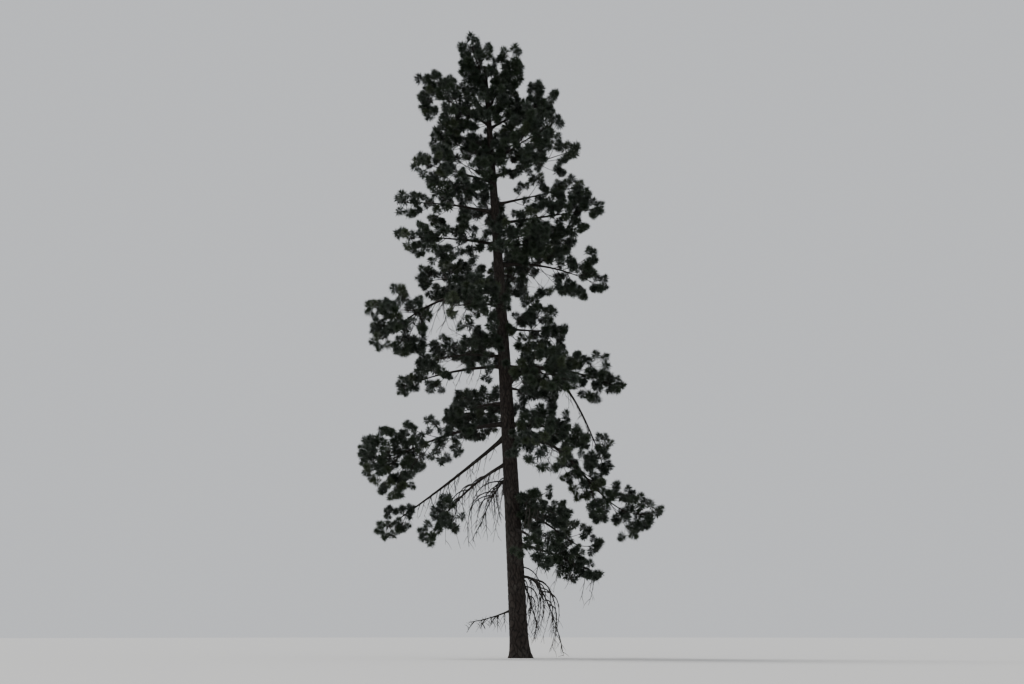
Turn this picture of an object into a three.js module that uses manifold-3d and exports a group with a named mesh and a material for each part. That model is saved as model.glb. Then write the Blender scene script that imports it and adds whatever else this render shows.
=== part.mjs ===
// A lone pine that grew in the open: a slightly leaning trunk with a root flare, long limbs that droop and
// turn up at their ends, open masses of needle sprays round them, and dead limbs low on the trunk.
// Millimetres, +Z up. The origin is the middle of the flat cut at ground level. -Y is the side seen first:
// +X is to its right, and a branch's turn is its compass angle, 0 towards +X and 90 towards +Y.
import * as THREE from 'three';
import { mergeVertices } from 'three/addons/utils/BufferGeometryUtils.js';
import Module from 'manifold-3d';

const wasm = await Module();
wasm.setup();

// Driving sizes of the whole tree. The trunk leans to -X by LEAN and bends further by BOW times its height
// squared.
const TREE_HEIGHT = 18000;
const TRUNK_TOP = 17000;
const TRUNK_RADIUS = 272;
const TAPER_POWER = 0.66;
const LEAN = 0.045;
const BOW = 0.8e-6;
const FLARE = 85;
const FLARE_HEIGHT = 260;
const ROOT_LOBES = 5;
const LOBE_DEPTH = 0.16;

// Wood. A limb's radius at its root grows with its length.
const CLEARANCE = 0.3;
const LIMB_ROOT = 16;
const LIMB_ROOT_PER_LENGTH = 0.011;
const LIMB_TIP = 14;
const LIMB_TAPER = 0.8;
const ROOTS_IN = 0.02;
const SWAY = 0.12;
const TWIG_ROOT = 15;
const FORK_ROOT = 9;
const TWIG_TIP = 7;
const DEAD_TWIG = { shortest: 0.55, narrowest: 0.4, onwards: 0.45, drop: 0.6 };
const DEAD_FORK = { across: 0.2, onwards: -0.15, drop: 0.45 };

// Foliage. A spray's form is told in shares of its radius, measured along and out from its axis.
const SPRAY_RADIUS = 470;
const SPRAY_PER_WIDTH = 0.75;
const SPRAY_FORM = {
  neck: { along: -0.5 },
  waist: { along: 0, out: 0.46 },
  innerPoint: { along: -0.34, out: 0.92 },
  outerPoint: { along: 0.52, out: 0.86 },
  tip: { along: 1 },
};
const SPRAY_SIZES = { least: 0.86, most: 1.14 };
const SPRAY_SPREAD = { least: 0.5, most: 1 };
const SPRAYS_TRIED = 1.2;
const SPRAYS_LEAST = 6;
const LAST_SPRAY = 0.9;
const SPACING = 1.64;
const SMALLER = [1, 0.8, 0.62];
const GOLDEN_ANGLE = 2.39996;
const TWIG_SLANT = 0.6;
const TWIG_BACK = 0.08;
const LIFT = 0.35;

// How finely the solids are divided
const TRUNK_SIDES = 15;
const TRUNK_RINGS = 15;
const TRUNK_CROWDING = 1.8;
const LIMB_SIDES = 5;
const STEM_SIDES = 3;
const TWIG_SIDES = 3;
const LIMB_STEP = 560;
const SIMPLER = 0.2;
const UP = new THREE.Vector3(0, 0, 1);

// Which dice each kind of thing rolls
const DICE = {
  size: 0, place: 20, spread: 40, sway: 90, wind: 91, depthFan: 7, depthReach: 8, depthSide: 1056, dead: 200,
};

// The branches that the crown's outline is made of, from the top down. height is where one leaves the
// trunk, reach and rise where its tip is from there. arch lifts its middle, hook lifts its inner half and
// drops its outer half. Foliage starts at the share bare of its length; where limb is true the wood up to
// there is a bough of its own. width and depth are half the foliage's size across and upright, swell above 1
// moves its bulk to the tip, and full thins or thickens it.
const SIDE_BRANCHES = [
  { name: 'leader_tip', height: 16300, turn: 184, reach: 560, rise: 1680, width: 640, depth: 640, full: 2.4 },
  { name: 'second_leader', height: 15700, turn: -12, reach: 860, rise: 1950, width: 640, depth: 640,
    full: 2.1 },
  { name: 'left_crest', height: 15300, turn: 174, reach: 2200, rise: 1350, width: 860, depth: 840, full: 1.4 },
  { name: 'right_crest', height: 15200, turn: 14, reach: 2100, rise: 1150, width: 800, depth: 880, full: 1.5 },
  { name: 'left_upper', height: 14400, turn: 142, reach: 2300, rise: 750, width: 800, depth: 960, full: 1.2 },
  { name: 'right_upper', height: 14200, turn: -38, reach: 2600, rise: 1100, width: 760, depth: 1010,
    full: 1.3 },
  { name: 'left_shoulder', height: 13650, turn: 213, reach: 2800, rise: 450, width: 760, depth: 910,
    full: 1.2 },
  { name: 'right_shoulder', height: 13800, turn: 28, reach: 2900, rise: 1000, bare: 0.3, width: 640,
    depth: 730 },
  { name: 'right_wisp', height: 13000, turn: 24, reach: 2900, rise: 700, bare: 0.22, width: 560, depth: 650,
    full: 0.8 },
  { name: 'left_high', height: 12750, turn: 168, reach: 3000, rise: 350, arch: 120, bare: 0.05, width: 800,
    depth: 830, full: 0.8 },
  { name: 'right_wing', height: 12450, turn: -10, reach: 3250, rise: 450, bare: 0.36, limb: true, width: 700,
    depth: 940 },
  { name: 'left_spread', height: 11850, turn: 194, reach: 3100, rise: 100, arch: 100, bare: 0.05, width: 720,
    depth: 780, swell: 0.7 },
  { name: 'right_inner_high', height: 11850, turn: 42, reach: 3000, rise: 150, bare: 0.12, width: 660,
    depth: 700 },
  { name: 'right_elbow', height: 11250, turn: 4, reach: 3250, rise: -750, arch: 300, bare: 0.2, limb: true,
    width: 740, depth: 960 },
  { name: 'left_shelf', height: 10650, turn: 140, reach: 3150, rise: 250, arch: 160, width: 780, depth: 830,
    swell: 1.4, full: 1.1 },
  { name: 'left_wing', height: 10450, turn: 186, reach: 3750, rise: -1700, arch: 560, bare: 0.6, limb: true,
    width: 840, depth: 1170 },
  { name: 'right_middle', height: 9420, turn: 38, reach: 2500, rise: -30, width: 740, depth: 1040 },
  { name: 'left_middle', height: 8600, turn: 208, reach: 2850, rise: -350, arch: 200, width: 740, depth: 830,
    swell: 0.5, full: 0.9 },
  { name: 'right_ring', height: 8300, turn: -12, reach: 3550, rise: -700, arch: 260, bare: 0.36, limb: true,
    width: 700, depth: 910, full: 1 },
  { name: 'left_fringe', height: 8350, turn: 160, reach: 3450, rise: -650, arch: 150, bare: 0.46, limb: true,
    width: 620, depth: 620, full: 0.8 },
  { name: 'right_inner', height: 7750, turn: 50, reach: 2450, rise: -250, width: 760, depth: 910, full: 0.85 },
  { name: 'left_inner', height: 7300, turn: 144, reach: 2300, rise: -500, arch: 120, width: 740, depth: 730,
    full: 0.8 },
  { name: 'right_shelf', height: 6650, turn: -38, reach: 2950, rise: -600, arch: 200, bare: 0.1, width: 680,
    depth: 680 },
  { name: 'left_long', height: 6700, turn: 187, reach: 4250, rise: -1600, arch: 330, bare: 0.26, limb: true,
    width: 840, depth: 1270, swell: 4.2, full: 1.1 },
  { name: 'right_pendant', height: 7750, turn: 17, reach: 3150, rise: -2800, arch: 1700, bare: 0.82, limb: true,
    width: 520, depth: 600, full: 0.8 },
  { name: 'left_bare', height: 6400, turn: 175, reach: 3800, rise: -2850, arch: -80, bare: 0.76, limb: true,
    width: 540, depth: 580, full: 0.8 },
  { name: 'left_hanging', height: 5600, turn: 203, reach: 2700, rise: -2400, arch: 300, bare: 0.6, limb: true,
    width: 600, depth: 680, full: 0.6 },
  { name: 'right_low', height: 6150, turn: -8, reach: 4400, rise: -1950, hook: 480, bare: 0.16, limb: true,
    width: 780, depth: 860, swell: 2.4, full: 1.15 },
  { name: 'right_lap', height: 4500, turn: -52, reach: 2600, rise: -600, arch: 60, width: 680, depth: 600,
    full: 0.4 },
  { name: 'right_skirt', height: 4150, turn: 26, reach: 2950, rise: -750, arch: -240, hook: 200, width: 720,
    depth: 780, full: 0.55 },
  { name: 'right_lowest', height: 3300, turn: -6, reach: 2600, rise: -1050, arch: 120, bare: 0.3, limb: true,
    width: 660, depth: 620 },
];

// Dead branches low on the trunk: a limb and bare twigs that hang from it, with no needles
const DEAD_BRANCHES = [
  { name: 'dead_left_twigs', height: 5250, turn: 140, reach: 1150, rise: -1500, arch: 180, bare: 0.15,
    width: 420, twigs: 6, twigLength: 800 },
  { name: 'dead_left_limb', height: 1450, turn: 186, reach: 1400, rise: -430, arch: -60, bare: 0.3, width: 300,
    twigs: 3, twigLength: 480 },
  { name: 'dead_right_limb', height: 2200, turn: -12, reach: 1330, rise: -1830, arch: 760, bare: 0.25,
    width: 330, twigs: 6, twigLength: 800 },
  { name: 'dead_right_twigs', height: 2750, turn: 34, reach: 800, rise: -1950, arch: 220, bare: 0.2,
    width: 320, twigs: 6, twigLength: 760 },
];

// The branches towards -Y and +Y, which fill the crown from its other sides, follow a rule. The two lowest
// are thin, and a gap parts them from the rest.
const DEPTH_BRANCHES = 13;
const DEPTH_LOW_BRANCHES = 2;
const DEPTH_LOWEST = 3700;
const DEPTH_SPACING = 920;
const DEPTH_GAP = 800;
const DEPTH_LOW_FULL = 0.38;
const DEPTH_FAN = 38;
const DEPTH_FAN_LEAST = 0.3;
const DEPTH_REACH_LEAST = 0.86;
const DEPTH_FOLIAGE = { width: 880, depth: 840 };
const DEPTH_RISE = { lowest: -1100, highest: 900 };
const DEPTH_ARCH = 180;
const DEPTH_BARE = 0.3;
const CROWN_REACH = 3600;
const CROWN_WIDEST = 5000;
const CROWN_FULLNESS = 2.2;

// The rule's dice: a share from 0 to 1 for any two whole numbers, the same each time, and a number between
// two limits by that share.
function chance(a, b) {
  const s = Math.sin(a * 127.1 + b * 311.7) * 43758.5453;
  return s - Math.floor(s);
}

function between(least, most, a, b) {
  return THREE.MathUtils.lerp(least, most, chance(a, b));
}

// The trunk's middle line: it leans to -X and bows a little more with height.
function trunkCentre(z) {
  return new THREE.Vector3(-(LEAN * z + BOW * z * z), 0, z);
}

// The trunk's radius without its flare: a full foot and an ever faster taper to the tip.
function trunkRadius(z) {
  return TRUNK_RADIUS * (1 - z / TREE_HEIGHT) ** TAPER_POWER;
}

// A branch's middle line and the two directions across it, at the share t of its reach.
function branchLine(branch, seed) {
  const angle = THREE.MathUtils.degToRad(branch.turn);
  const out = new THREE.Vector3(Math.cos(angle), Math.sin(angle), 0);
  const across = new THREE.Vector3(-Math.sin(angle), Math.cos(angle), 0);
  const { reach, rise, arch = 0, hook = 0 } = branch;
  const sway = reach * between(-SWAY, SWAY, seed, DICE.sway) / 2;
  const root = trunkCentre(branch.height);
  const point = (t) => root.clone()
    .addScaledVector(out, reach * t)
    .addScaledVector(across, sway * Math.sin(Math.PI * t))
    .addScaledVector(UP, rise * t + 4 * arch * t * (1 - t) + hook * Math.sin(2 * Math.PI * t));
  const frame = (t) => {
    const along = point(t + 0.01).sub(point(t - 0.01)).normalize();
    const side = across.clone().addScaledVector(along, -across.dot(along)).normalize();
    return { along, side, upright: new THREE.Vector3().crossVectors(along, side) };
  };
  const length = Math.hypot(reach, rise) + Math.abs(arch) + Math.abs(hook);
  const rootRadius = LIMB_ROOT + LIMB_ROOT_PER_LENGTH * length;
  const radius = (t) => THREE.MathUtils.lerp(rootRadius, LIMB_TIP, t ** LIMB_TAPER);
  return { point, frame, length, radius };
}

// A closed geometry as a solid, with its shared corners merged.
function solidFrom(geometry) {
  geometry.deleteAttribute('normal');
  geometry.deleteAttribute('uv');
  const merged = mergeVertices(geometry, 1e-4);
  const mesh = new wasm.Mesh({
    numProp: 3,
    vertProperties: new Float32Array(merged.attributes.position.array),
    triVerts: new Uint32Array(merged.index.array),
  });
  return new wasm.Manifold(mesh);
}

// A three.js cylinder whose rings are moved by ring(t, x, y): t is the share of its height, and x and y
// are the corner's place on a circle of radius 1.
function bentCylinder(sides, steps, ring) {
  const geometry = new THREE.CylinderGeometry(1, 1, 1, sides, steps);
  const corners = geometry.attributes.position;
  for (let i = 0; i < corners.count; i++) {
    const moved = ring(corners.getY(i) + 0.5, corners.getX(i), -corners.getZ(i));
    corners.setXYZ(i, moved.x, moved.y, moved.z);
  }
  return solidFrom(geometry);
}

// The trunk on level rings that crowd towards the ground, where lobes run out into the roots.
function trunkSolid(extra) {
  return bentCylinder(TRUNK_SIDES, TRUNK_RINGS, (t, x, y) => {
    const z = TRUNK_TOP * t ** TRUNK_CROWDING;
    const flare = Math.exp(-z / FLARE_HEIGHT);
    const lobe = 1 + LOBE_DEPTH * flare * Math.cos(ROOT_LOBES * Math.atan2(y, x));
    const radius = (trunkRadius(z) + FLARE * flare) * lobe + extra;
    const centre = trunkCentre(z);
    return new THREE.Vector3(centre.x + radius * x, centre.y + radius * y, t === 1 ? z + extra : z);
  });
}

// The wood of a branch between the shares from and to of its reach.
function limbSolid(line, from, to, sides) {
  const steps = Math.max(2, Math.round(((to - from) * line.length) / LIMB_STEP));
  return bentCylinder(sides, steps, (share, x, y) => {
    const t = THREE.MathUtils.lerp(from, to, share);
    const { side, upright } = line.frame(t);
    return line.point(t)
      .addScaledVector(side, x * line.radius(t))
      .addScaledVector(upright, y * line.radius(t));
  });
}

// A straight twig that tapers from one point to another.
function twigSolid(start, end, startRadius, endRadius) {
  const along = end.clone().sub(start).normalize();
  const turn = new THREE.Quaternion().setFromUnitVectors(UP, along);
  return bentCylinder(TWIG_SIDES, 1, (t, x, y) => {
    const radius = THREE.MathUtils.lerp(startRadius, endRadius, t);
    return new THREE.Vector3(x * radius, y * radius, 0).applyQuaternion(turn).add(start.clone().lerp(end, t));
  });
}

// A spray of needles on its twig, as one closed body: a three-sided twig that widens into a slim core, whose
// three inner and three outer faces are drawn out to points round a seventh point at the tip of its axis.
function spraySolid({ root, centre, axis }, radius) {
  const { neck, waist, innerPoint, outerPoint, tip } = SPRAY_FORM;
  const along = centre.clone().sub(root).normalize();
  const twigTurn = new THREE.Quaternion().setFromUnitVectors(UP, along);
  const coreTurn = twigTurn.clone().premultiply(new THREE.Quaternion().setFromUnitVectors(along, axis));
  const onAxis = (share) => centre.clone().addScaledVector(axis, share * radius);
  const ring = (turn, middle, size, step) => [0, 1, 2].map((i) => {
    const angle = ((i + step) * 2 * Math.PI) / 3;
    const corner = new THREE.Vector3(size * Math.cos(angle), size * Math.sin(angle), 0);
    return corner.applyQuaternion(turn).add(middle);
  });
  const foot = ring(twigTurn, root, TWIG_ROOT, 0);
  const collar = ring(coreTurn, onAxis(neck.along), TWIG_TIP, 0);
  const belt = ring(coreTurn, onAxis(waist.along), waist.out * radius, 0);
  const inner = ring(coreTurn, onAxis(innerPoint.along), innerPoint.out * radius, 0.5);
  const outer = ring(coreTurn, onAxis(outerPoint.along), outerPoint.out * radius, 0.5);
  const end = onAxis(tip.along);
  const corners = [foot[2], foot[1], foot[0]];
  for (let i = 0; i < 3; i++) {
    const j = (i + 1) % 3;
    corners.push(foot[i], foot[j], collar[j], foot[i], collar[j], collar[i]);
    corners.push(collar[i], collar[j], inner[i], collar[j], belt[j], inner[i]);
    corners.push(belt[j], belt[i], inner[i], belt[i], collar[i], inner[i]);
    corners.push(belt[i], belt[j], outer[i], belt[j], end, outer[i], end, belt[i], outer[i]);
  }
  return solidFrom(new THREE.BufferGeometry().setFromPoints(corners));
}

// How large a branch's sprays are, and where its stem ends so that the last spray ends at its full reach.
function sprayRadius({ width, depth }) {
  return Math.min(SPRAY_RADIUS, SPRAY_PER_WIDTH * Math.min(width, depth));
}

function stemEnd(branch, line) {
  return 1 - (LAST_SPRAY * sprayRadius(branch)) / line.length;
}

const placed = new Map();

function boxesMeet(a, b) {
  const boxA = a.boundingBox();
  const boxB = b.boundingBox();
  return [0, 1, 2].every((i) => boxA.min[i] <= boxB.max[i] && boxB.min[i] <= boxA.max[i]);
}

// True where a solid keeps clear of everything that nodes other than the one named hold already.
function isClear(solid, ownName) {
  return [...placed].every(([name, other]) => (
    name === ownName || !boxesMeet(solid, other) || solid.intersect(other).isEmpty()
  ));
}

// Joins the pieces of one node, cuts them clear of the trunk and keeps the largest body.
function fuse(pieces) {
  const joined = wasm.Manifold.union(pieces).subtract(trunkAndGap).simplify(SIMPLER);
  return joined.decompose().sort((a, b) => b.volume() - a.volume())[0];
}

// Where the sprays of a mass may stand: twigs wind round the stem by the golden angle and reach furthest out
// at its middle. The last one carries on the stem's own line.
function sprayPlaces(branch, line, seed, stemStart) {
  const { width, depth, bare = 0, swell = 1, full = 1 } = branch;
  const radius = sprayRadius(branch);
  const end = stemEnd(branch, line);
  const volume = (line.length * (end - bare) + radius) * 4 * width * depth;
  const count = Math.max(SPRAYS_LEAST, Math.round((SPRAYS_TRIED * full * volume) / radius ** 3));
  return Array.from({ length: count }, (_, k) => {
    const last = k === count - 1;
    const size = radius * between(SPRAY_SIZES.least, SPRAY_SIZES.most, seed, k + DICE.size);
    const share = last ? 1 : (k + chance(seed, k + DICE.place)) / count;
    const t = bare + (end - bare) * share;
    const bulk = last ? 0 : 0.5 + 0.5 * Math.sin(Math.PI * share ** swell);
    const spread = bulk * between(SPRAY_SPREAD.least, SPRAY_SPREAD.most, seed, k + DICE.spread);
    const wind = k * GOLDEN_ANGLE + 2 * Math.PI * chance(seed, DICE.wind);
    const { side, upright } = line.frame(t);
    const centre = line.point(t)
      .addScaledVector(side, Math.cos(wind) * spread * (width - size / 2))
      .addScaledVector(upright, Math.sin(wind) * spread * (depth - size / 2));
    const slant = TWIG_BACK + (TWIG_SLANT * centre.distanceTo(line.point(t))) / line.length;
    const root = line.point(Math.max(stemStart + ROOTS_IN, t - slant));
    const axis = centre.clone().sub(root).normalize().addScaledVector(UP, LIFT).normalize();
    return { root, centre, axis, size };
  });
}

// The sprays of a mass, from its tip inwards. One that would crowd another of its own mass is left out, and
// one that would touch another limb or mass is made smaller or left out.
function massPieces(branch, line, seed, stemStart) {
  const spacing = (SPACING * sprayRadius(branch)) / Math.cbrt(branch.full ?? 1);
  const kept = [];
  const pieces = [];
  for (const place of sprayPlaces(branch, line, seed, stemStart).reverse()) {
    if (kept.some((centre) => centre.distanceTo(place.centre) < spacing)) continue;
    const spray = SMALLER.map((part) => spraySolid(place, place.size * part))
      .find((solid) => isClear(solid, branch.name));
    if (!spray) continue;
    kept.push(place.centre);
    pieces.push(spray);
  }
  return pieces;
}

// Bare twigs that hang from a dead limb to either side by turns, each second one forked. Their ends are told
// in shares of their length.
function deadPieces(branch, line, seed) {
  const pieces = [];
  for (let k = 0; k < branch.twigs; k++) {
    const share = branch.bare + ((1 - branch.bare) * (k + 0.5)) / branch.twigs;
    const { side, along } = line.frame(share);
    const length = branch.twigLength * between(DEAD_TWIG.shortest, 1, seed, k + DICE.size);
    const swing = (k % 2 ? 1 : -1) * branch.width * between(DEAD_TWIG.narrowest, 1, seed, k + DICE.place);
    const hang = (start, across, onwards, drop) => start.clone()
      .addScaledVector(side, across * swing)
      .addScaledVector(along, onwards * length)
      .addScaledVector(UP, -drop * length);
    const root = line.point(share);
    const end = hang(root, 1, DEAD_TWIG.onwards, DEAD_TWIG.drop);
    const twigs = [twigSolid(root, end, TWIG_ROOT, TWIG_TIP)];
    if (k % 2) {
      const fork = root.clone().lerp(end, 0.5);
      const forkEnd = hang(fork, DEAD_FORK.across, DEAD_FORK.onwards, DEAD_FORK.drop);
      twigs.push(twigSolid(fork, forkEnd, FORK_ROOT, TWIG_TIP));
    }
    if (twigs.every((twig) => isClear(twig, 'trunk'))) pieces.push(...twigs);
  }
  return pieces;
}

// The branches towards -Y and +Y by turns: long and drooping low down, short and rising near the top.
function depthBranches() {
  return Array.from({ length: DEPTH_BRANCHES }, (_, k) => {
    const low = k < DEPTH_LOW_BRANCHES;
    const height = DEPTH_LOWEST + DEPTH_SPACING * k + (low ? 0 : DEPTH_GAP);
    const toTheFront = k % 2 === 0;
    const toTheRight = chance(k, DICE.depthSide) < 0.5;
    const sense = toTheRight === toTheFront ? 1 : -1;
    const fan = sense * DEPTH_FAN * between(DEPTH_FAN_LEAST, 1, k, DICE.depthFan);
    const climb = Math.max(0, height - CROWN_WIDEST) / (TREE_HEIGHT - CROWN_WIDEST);
    const rising = (height - DEPTH_LOWEST) / (TRUNK_TOP - DEPTH_LOWEST);
    return {
      name: `${toTheFront ? 'front' : 'back'}_${1 + Math.floor(k / 2)}`,
      height,
      turn: (toTheFront ? 270 : 90) + fan,
      reach: CROWN_REACH * (1 - climb ** CROWN_FULLNESS) * between(DEPTH_REACH_LEAST, 1, k, DICE.depthReach),
      rise: THREE.MathUtils.lerp(DEPTH_RISE.lowest, DEPTH_RISE.highest, rising),
      arch: DEPTH_ARCH * (1 - climb),
      bare: DEPTH_BARE * (1 - climb),
      full: low ? DEPTH_LOW_FULL : 1,
      ...DEPTH_FOLIAGE,
    };
  });
}

const SURFACES = {
  bark: { color: 0x4a3a30, roughness: 0.95, metalness: 0 },
  limb: { color: 0x54463a, roughness: 0.95, metalness: 0 },
  deadWood: { color: 0x6b625a, roughness: 1, metalness: 0 },
  needles: { color: 0x33452a, roughness: 0.8, metalness: 0 },
};

// A solid as a named mesh, placed at anchor with its geometry measured from there.
function meshOf(name, solid, anchor, surface) {
  const local = solid.translate([-anchor.x, -anchor.y, -anchor.z]).getMesh();
  const geometry = new THREE.BufferGeometry();
  geometry.setAttribute('position', new THREE.BufferAttribute(local.vertProperties, 3));
  geometry.setIndex(new THREE.BufferAttribute(local.triVerts, 1));
  geometry.computeVertexNormals();
  const mesh = new THREE.Mesh(geometry, new THREE.MeshStandardMaterial(SURFACES[surface]));
  mesh.name = name;
  mesh.position.copy(anchor);
  return mesh;
}

const tree = new THREE.Group();
const limbs = new THREE.Group();
const foliage = new THREE.Group();
tree.add(limbs, foliage);

const trunk = trunkSolid(0);
const trunkAndGap = trunkSolid(CLEARANCE);
placed.set('trunk', trunk);
tree.add(meshOf('trunk', trunk, new THREE.Vector3(), 'bark'));

const branches = [...SIDE_BRANCHES, ...depthBranches()];
const lines = branches.map((branch, i) => branchLine(branch, i + 1));

branches.forEach((branch, i) => {
  if (!branch.limb) return;
  const bough = fuse([limbSolid(lines[i], 0, branch.bare, LIMB_SIDES)]);
  placed.set(`bough_${branch.name}`, bough);
  limbs.add(meshOf(`bough_${branch.name}`, bough, trunkCentre(branch.height), 'limb'));
});

DEAD_BRANCHES.forEach((branch, i) => {
  const seed = DICE.dead + i;
  const line = branchLine(branch, seed);
  const stem = limbSolid(line, 0, 1, STEM_SIDES);
  const solid = fuse([stem, ...deadPieces(branch, line, seed)]);
  placed.set(branch.name, solid);
  limbs.add(meshOf(branch.name, solid, trunkCentre(branch.height), 'deadWood'));
});

// Every living stem holds its place before the first spray is set
const stemStarts = branches.map((branch, i) => {
  const start = branch.limb ? branch.bare + CLEARANCE / lines[i].length : 0;
  placed.set(branch.name, fuse([limbSolid(lines[i], start, stemEnd(branch, lines[i]), STEM_SIDES)]));
  return start;
});

branches.forEach((branch, i) => {
  const pieces = massPieces(branch, lines[i], i + 1, stemStarts[i]);
  const mass = fuse([placed.get(branch.name), ...pieces]);
  placed.set(branch.name, mass);
  foliage.add(meshOf(branch.name, mass, lines[i].point(stemStarts[i]), 'needles'));
});

export default tree;
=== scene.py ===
# A lone pine that grew in the open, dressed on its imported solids: a trunk under plated bark, long limbs,
# twigs that end in tufts of long needles, and dead limbs low down. Metres, +Z up, origin in the middle of
# the flat cut under the trunk. -Y is the side seen first, with +X to its right.
from types import SimpleNamespace

import bpy
import numpy as np
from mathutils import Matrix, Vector
from mathutils.bvhtree import BVHTree


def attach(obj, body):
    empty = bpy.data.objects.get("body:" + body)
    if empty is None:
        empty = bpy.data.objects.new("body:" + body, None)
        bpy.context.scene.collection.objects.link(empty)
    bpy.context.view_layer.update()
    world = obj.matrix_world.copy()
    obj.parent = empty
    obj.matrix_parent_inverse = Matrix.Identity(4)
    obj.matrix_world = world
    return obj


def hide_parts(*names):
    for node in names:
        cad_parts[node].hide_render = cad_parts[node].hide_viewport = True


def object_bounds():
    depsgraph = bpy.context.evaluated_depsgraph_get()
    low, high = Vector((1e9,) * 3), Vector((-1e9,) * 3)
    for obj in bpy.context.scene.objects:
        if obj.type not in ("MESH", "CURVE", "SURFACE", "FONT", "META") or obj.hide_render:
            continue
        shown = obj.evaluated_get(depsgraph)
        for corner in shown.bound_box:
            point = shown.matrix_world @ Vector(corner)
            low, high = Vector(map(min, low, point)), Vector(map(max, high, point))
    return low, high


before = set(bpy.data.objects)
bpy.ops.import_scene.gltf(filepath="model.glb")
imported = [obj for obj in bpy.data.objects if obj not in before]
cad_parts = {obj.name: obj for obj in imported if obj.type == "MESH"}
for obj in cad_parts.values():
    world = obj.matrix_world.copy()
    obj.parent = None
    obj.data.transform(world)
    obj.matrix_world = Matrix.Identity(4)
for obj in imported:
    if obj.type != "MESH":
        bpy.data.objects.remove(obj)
cad_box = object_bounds()

# The trunk. One stem under thick bark that has split into tall plates with dark furrows between them. It
# leans a little, flares into five root lobes at its foot and thins out to the leader at the top.
TREE_HEIGHT = 18.0
TRUNK_TOP = 17.0
TRUNK_RADIUS = 0.272
TAPER_POWER = 0.66
LEAN = 0.045
BOW = 0.8e-3
FLARE = 0.085
FLARE_HEIGHT = 0.26
ROOT_LOBES = 5
LOBE_DEPTH = 0.16
TRUNK_SIDES = 120
TRUNK_RINGS = 780
TRUNK_CROWDING = 1.35
TRUNK_POINT = 0.03
TRUNK_PLATES = SimpleNamespace(around=14, height=0.27, depth=0.017, furrow=0.30, scales=3, scale_depth=0.0035)
TRUNK_SEED = 3.0
PLATES_SHORTEN = 0.03
CELL_POINT_ACROSS = (0.08, 0.92)
CELL_POINT_ALONG = (0.05, 0.95)
FARTHEST = 9.0
WAVES_ACROSS = ((0.30, 3.0, 2.1), (0.16, 5.0, -4.3))
WAVES_ALONG = ((0.34, 2.0, 0.0), (0.18, 7.0, 1.3))
CROSS_FURROW = 0.5
PLATE_DOME = 0.22
SCALE_EDGE = 0.35
SCALE_LEAST = 0.4
SCALE_TONE = 0.35
ALONG_DICE, TONE_DICE, SCALE_DICE = 31.0, 17.0, 5.0
ALONG_SEED = 1.7
UP = np.array([0.0, 0.0, 1.0])


def chance(a, b):
    """A share from 0 to 1 for two numbers, the same each time: the fraction of a large multiple of the sine
    of both."""
    s = np.sin(a * 127.1 + b * 311.7) * 43758.5453
    return s - np.floor(s)


def between(least, most, a, b):
    """A number between two limits, by the share that chance gives."""
    return least + (most - least) * chance(a, b)


def smooth_step(low, high, x):
    """0 below low, 1 above high, and 3s² - 2s³ between them, where s is the share of the way."""
    s = np.clip((x - low) / (high - low), 0.0, 1.0)
    return s * s * (3.0 - 2.0 * s)


def unit(v):
    """Vectors scaled to length 1 along the last axis."""
    return v / np.maximum(np.linalg.norm(v, axis=-1, keepdims=True), 1e-12)


def trunk_centre(z):
    """The trunk's middle line: x = -(lean·z + bow·z²), y = 0."""
    z = np.asarray(z, float)
    return np.stack([-(LEAN * z + BOW * z * z), 0.0 * z, z], axis=-1)


def trunk_radius(z):
    """Radius without the flare: foot radius times (1 - z / height) to the taper power."""
    return TRUNK_RADIUS * (1.0 - z / TREE_HEIGHT) ** TAPER_POWER


def cells(u, v, around, seed):
    """Bark cells: each square of a grid, u counted round the stem and v along it, holds one point moved by
    chance, and a place belongs to its nearest point. Gives how far the second nearest is beyond the nearest,
    how upright the border between the two runs, and the cell's own chance."""
    column, row = np.floor(u), np.floor(v)
    near = np.full(u.shape, FARTHEST)
    next_near = np.full(u.shape, FARTHEST)
    tone = np.zeros(u.shape)
    near_u, near_v, next_u, next_v = (np.zeros(u.shape) for _ in range(4))
    for across in (-1, 0, 1):
        for along in (-1, 0, 1):
            cell_u = np.mod(column + across, around)
            cell_v = row + along
            point_u = column + across + between(*CELL_POINT_ACROSS, cell_u + seed, cell_v)
            point_v = cell_v + between(*CELL_POINT_ALONG, cell_v + ALONG_SEED * seed, cell_u + ALONG_DICE)
            distance = np.hypot(u - point_u, v - point_v)
            closer = distance < near
            second = ~closer & (distance < next_near)
            next_u = np.where(closer, near_u, np.where(second, point_u, next_u))
            next_v = np.where(closer, near_v, np.where(second, point_v, next_v))
            next_near = np.where(closer, near, np.where(second, distance, next_near))
            near_u = np.where(closer, point_u, near_u)
            near_v = np.where(closer, point_v, near_v)
            tone = np.where(closer, chance(cell_u + TONE_DICE, cell_v + seed), tone)
            near = np.where(closer, distance, near)
    upright = np.abs(next_u - near_u) / np.maximum(np.hypot(next_u - near_u, next_v - near_v), 1e-6)
    return next_near - near, upright, tone


def waved(place, waves, turn, along, seed):
    """A place drawn off line by two slow waves, each its size · sin(its turns·turn + its rise·along). The
    seed moves the first one on."""
    for (size, turns, rise), moved_on in zip(waves, (seed, 0.0)):
        place = place + size * np.sin(turns * turn + rise * along + moved_on)
    return place


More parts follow.
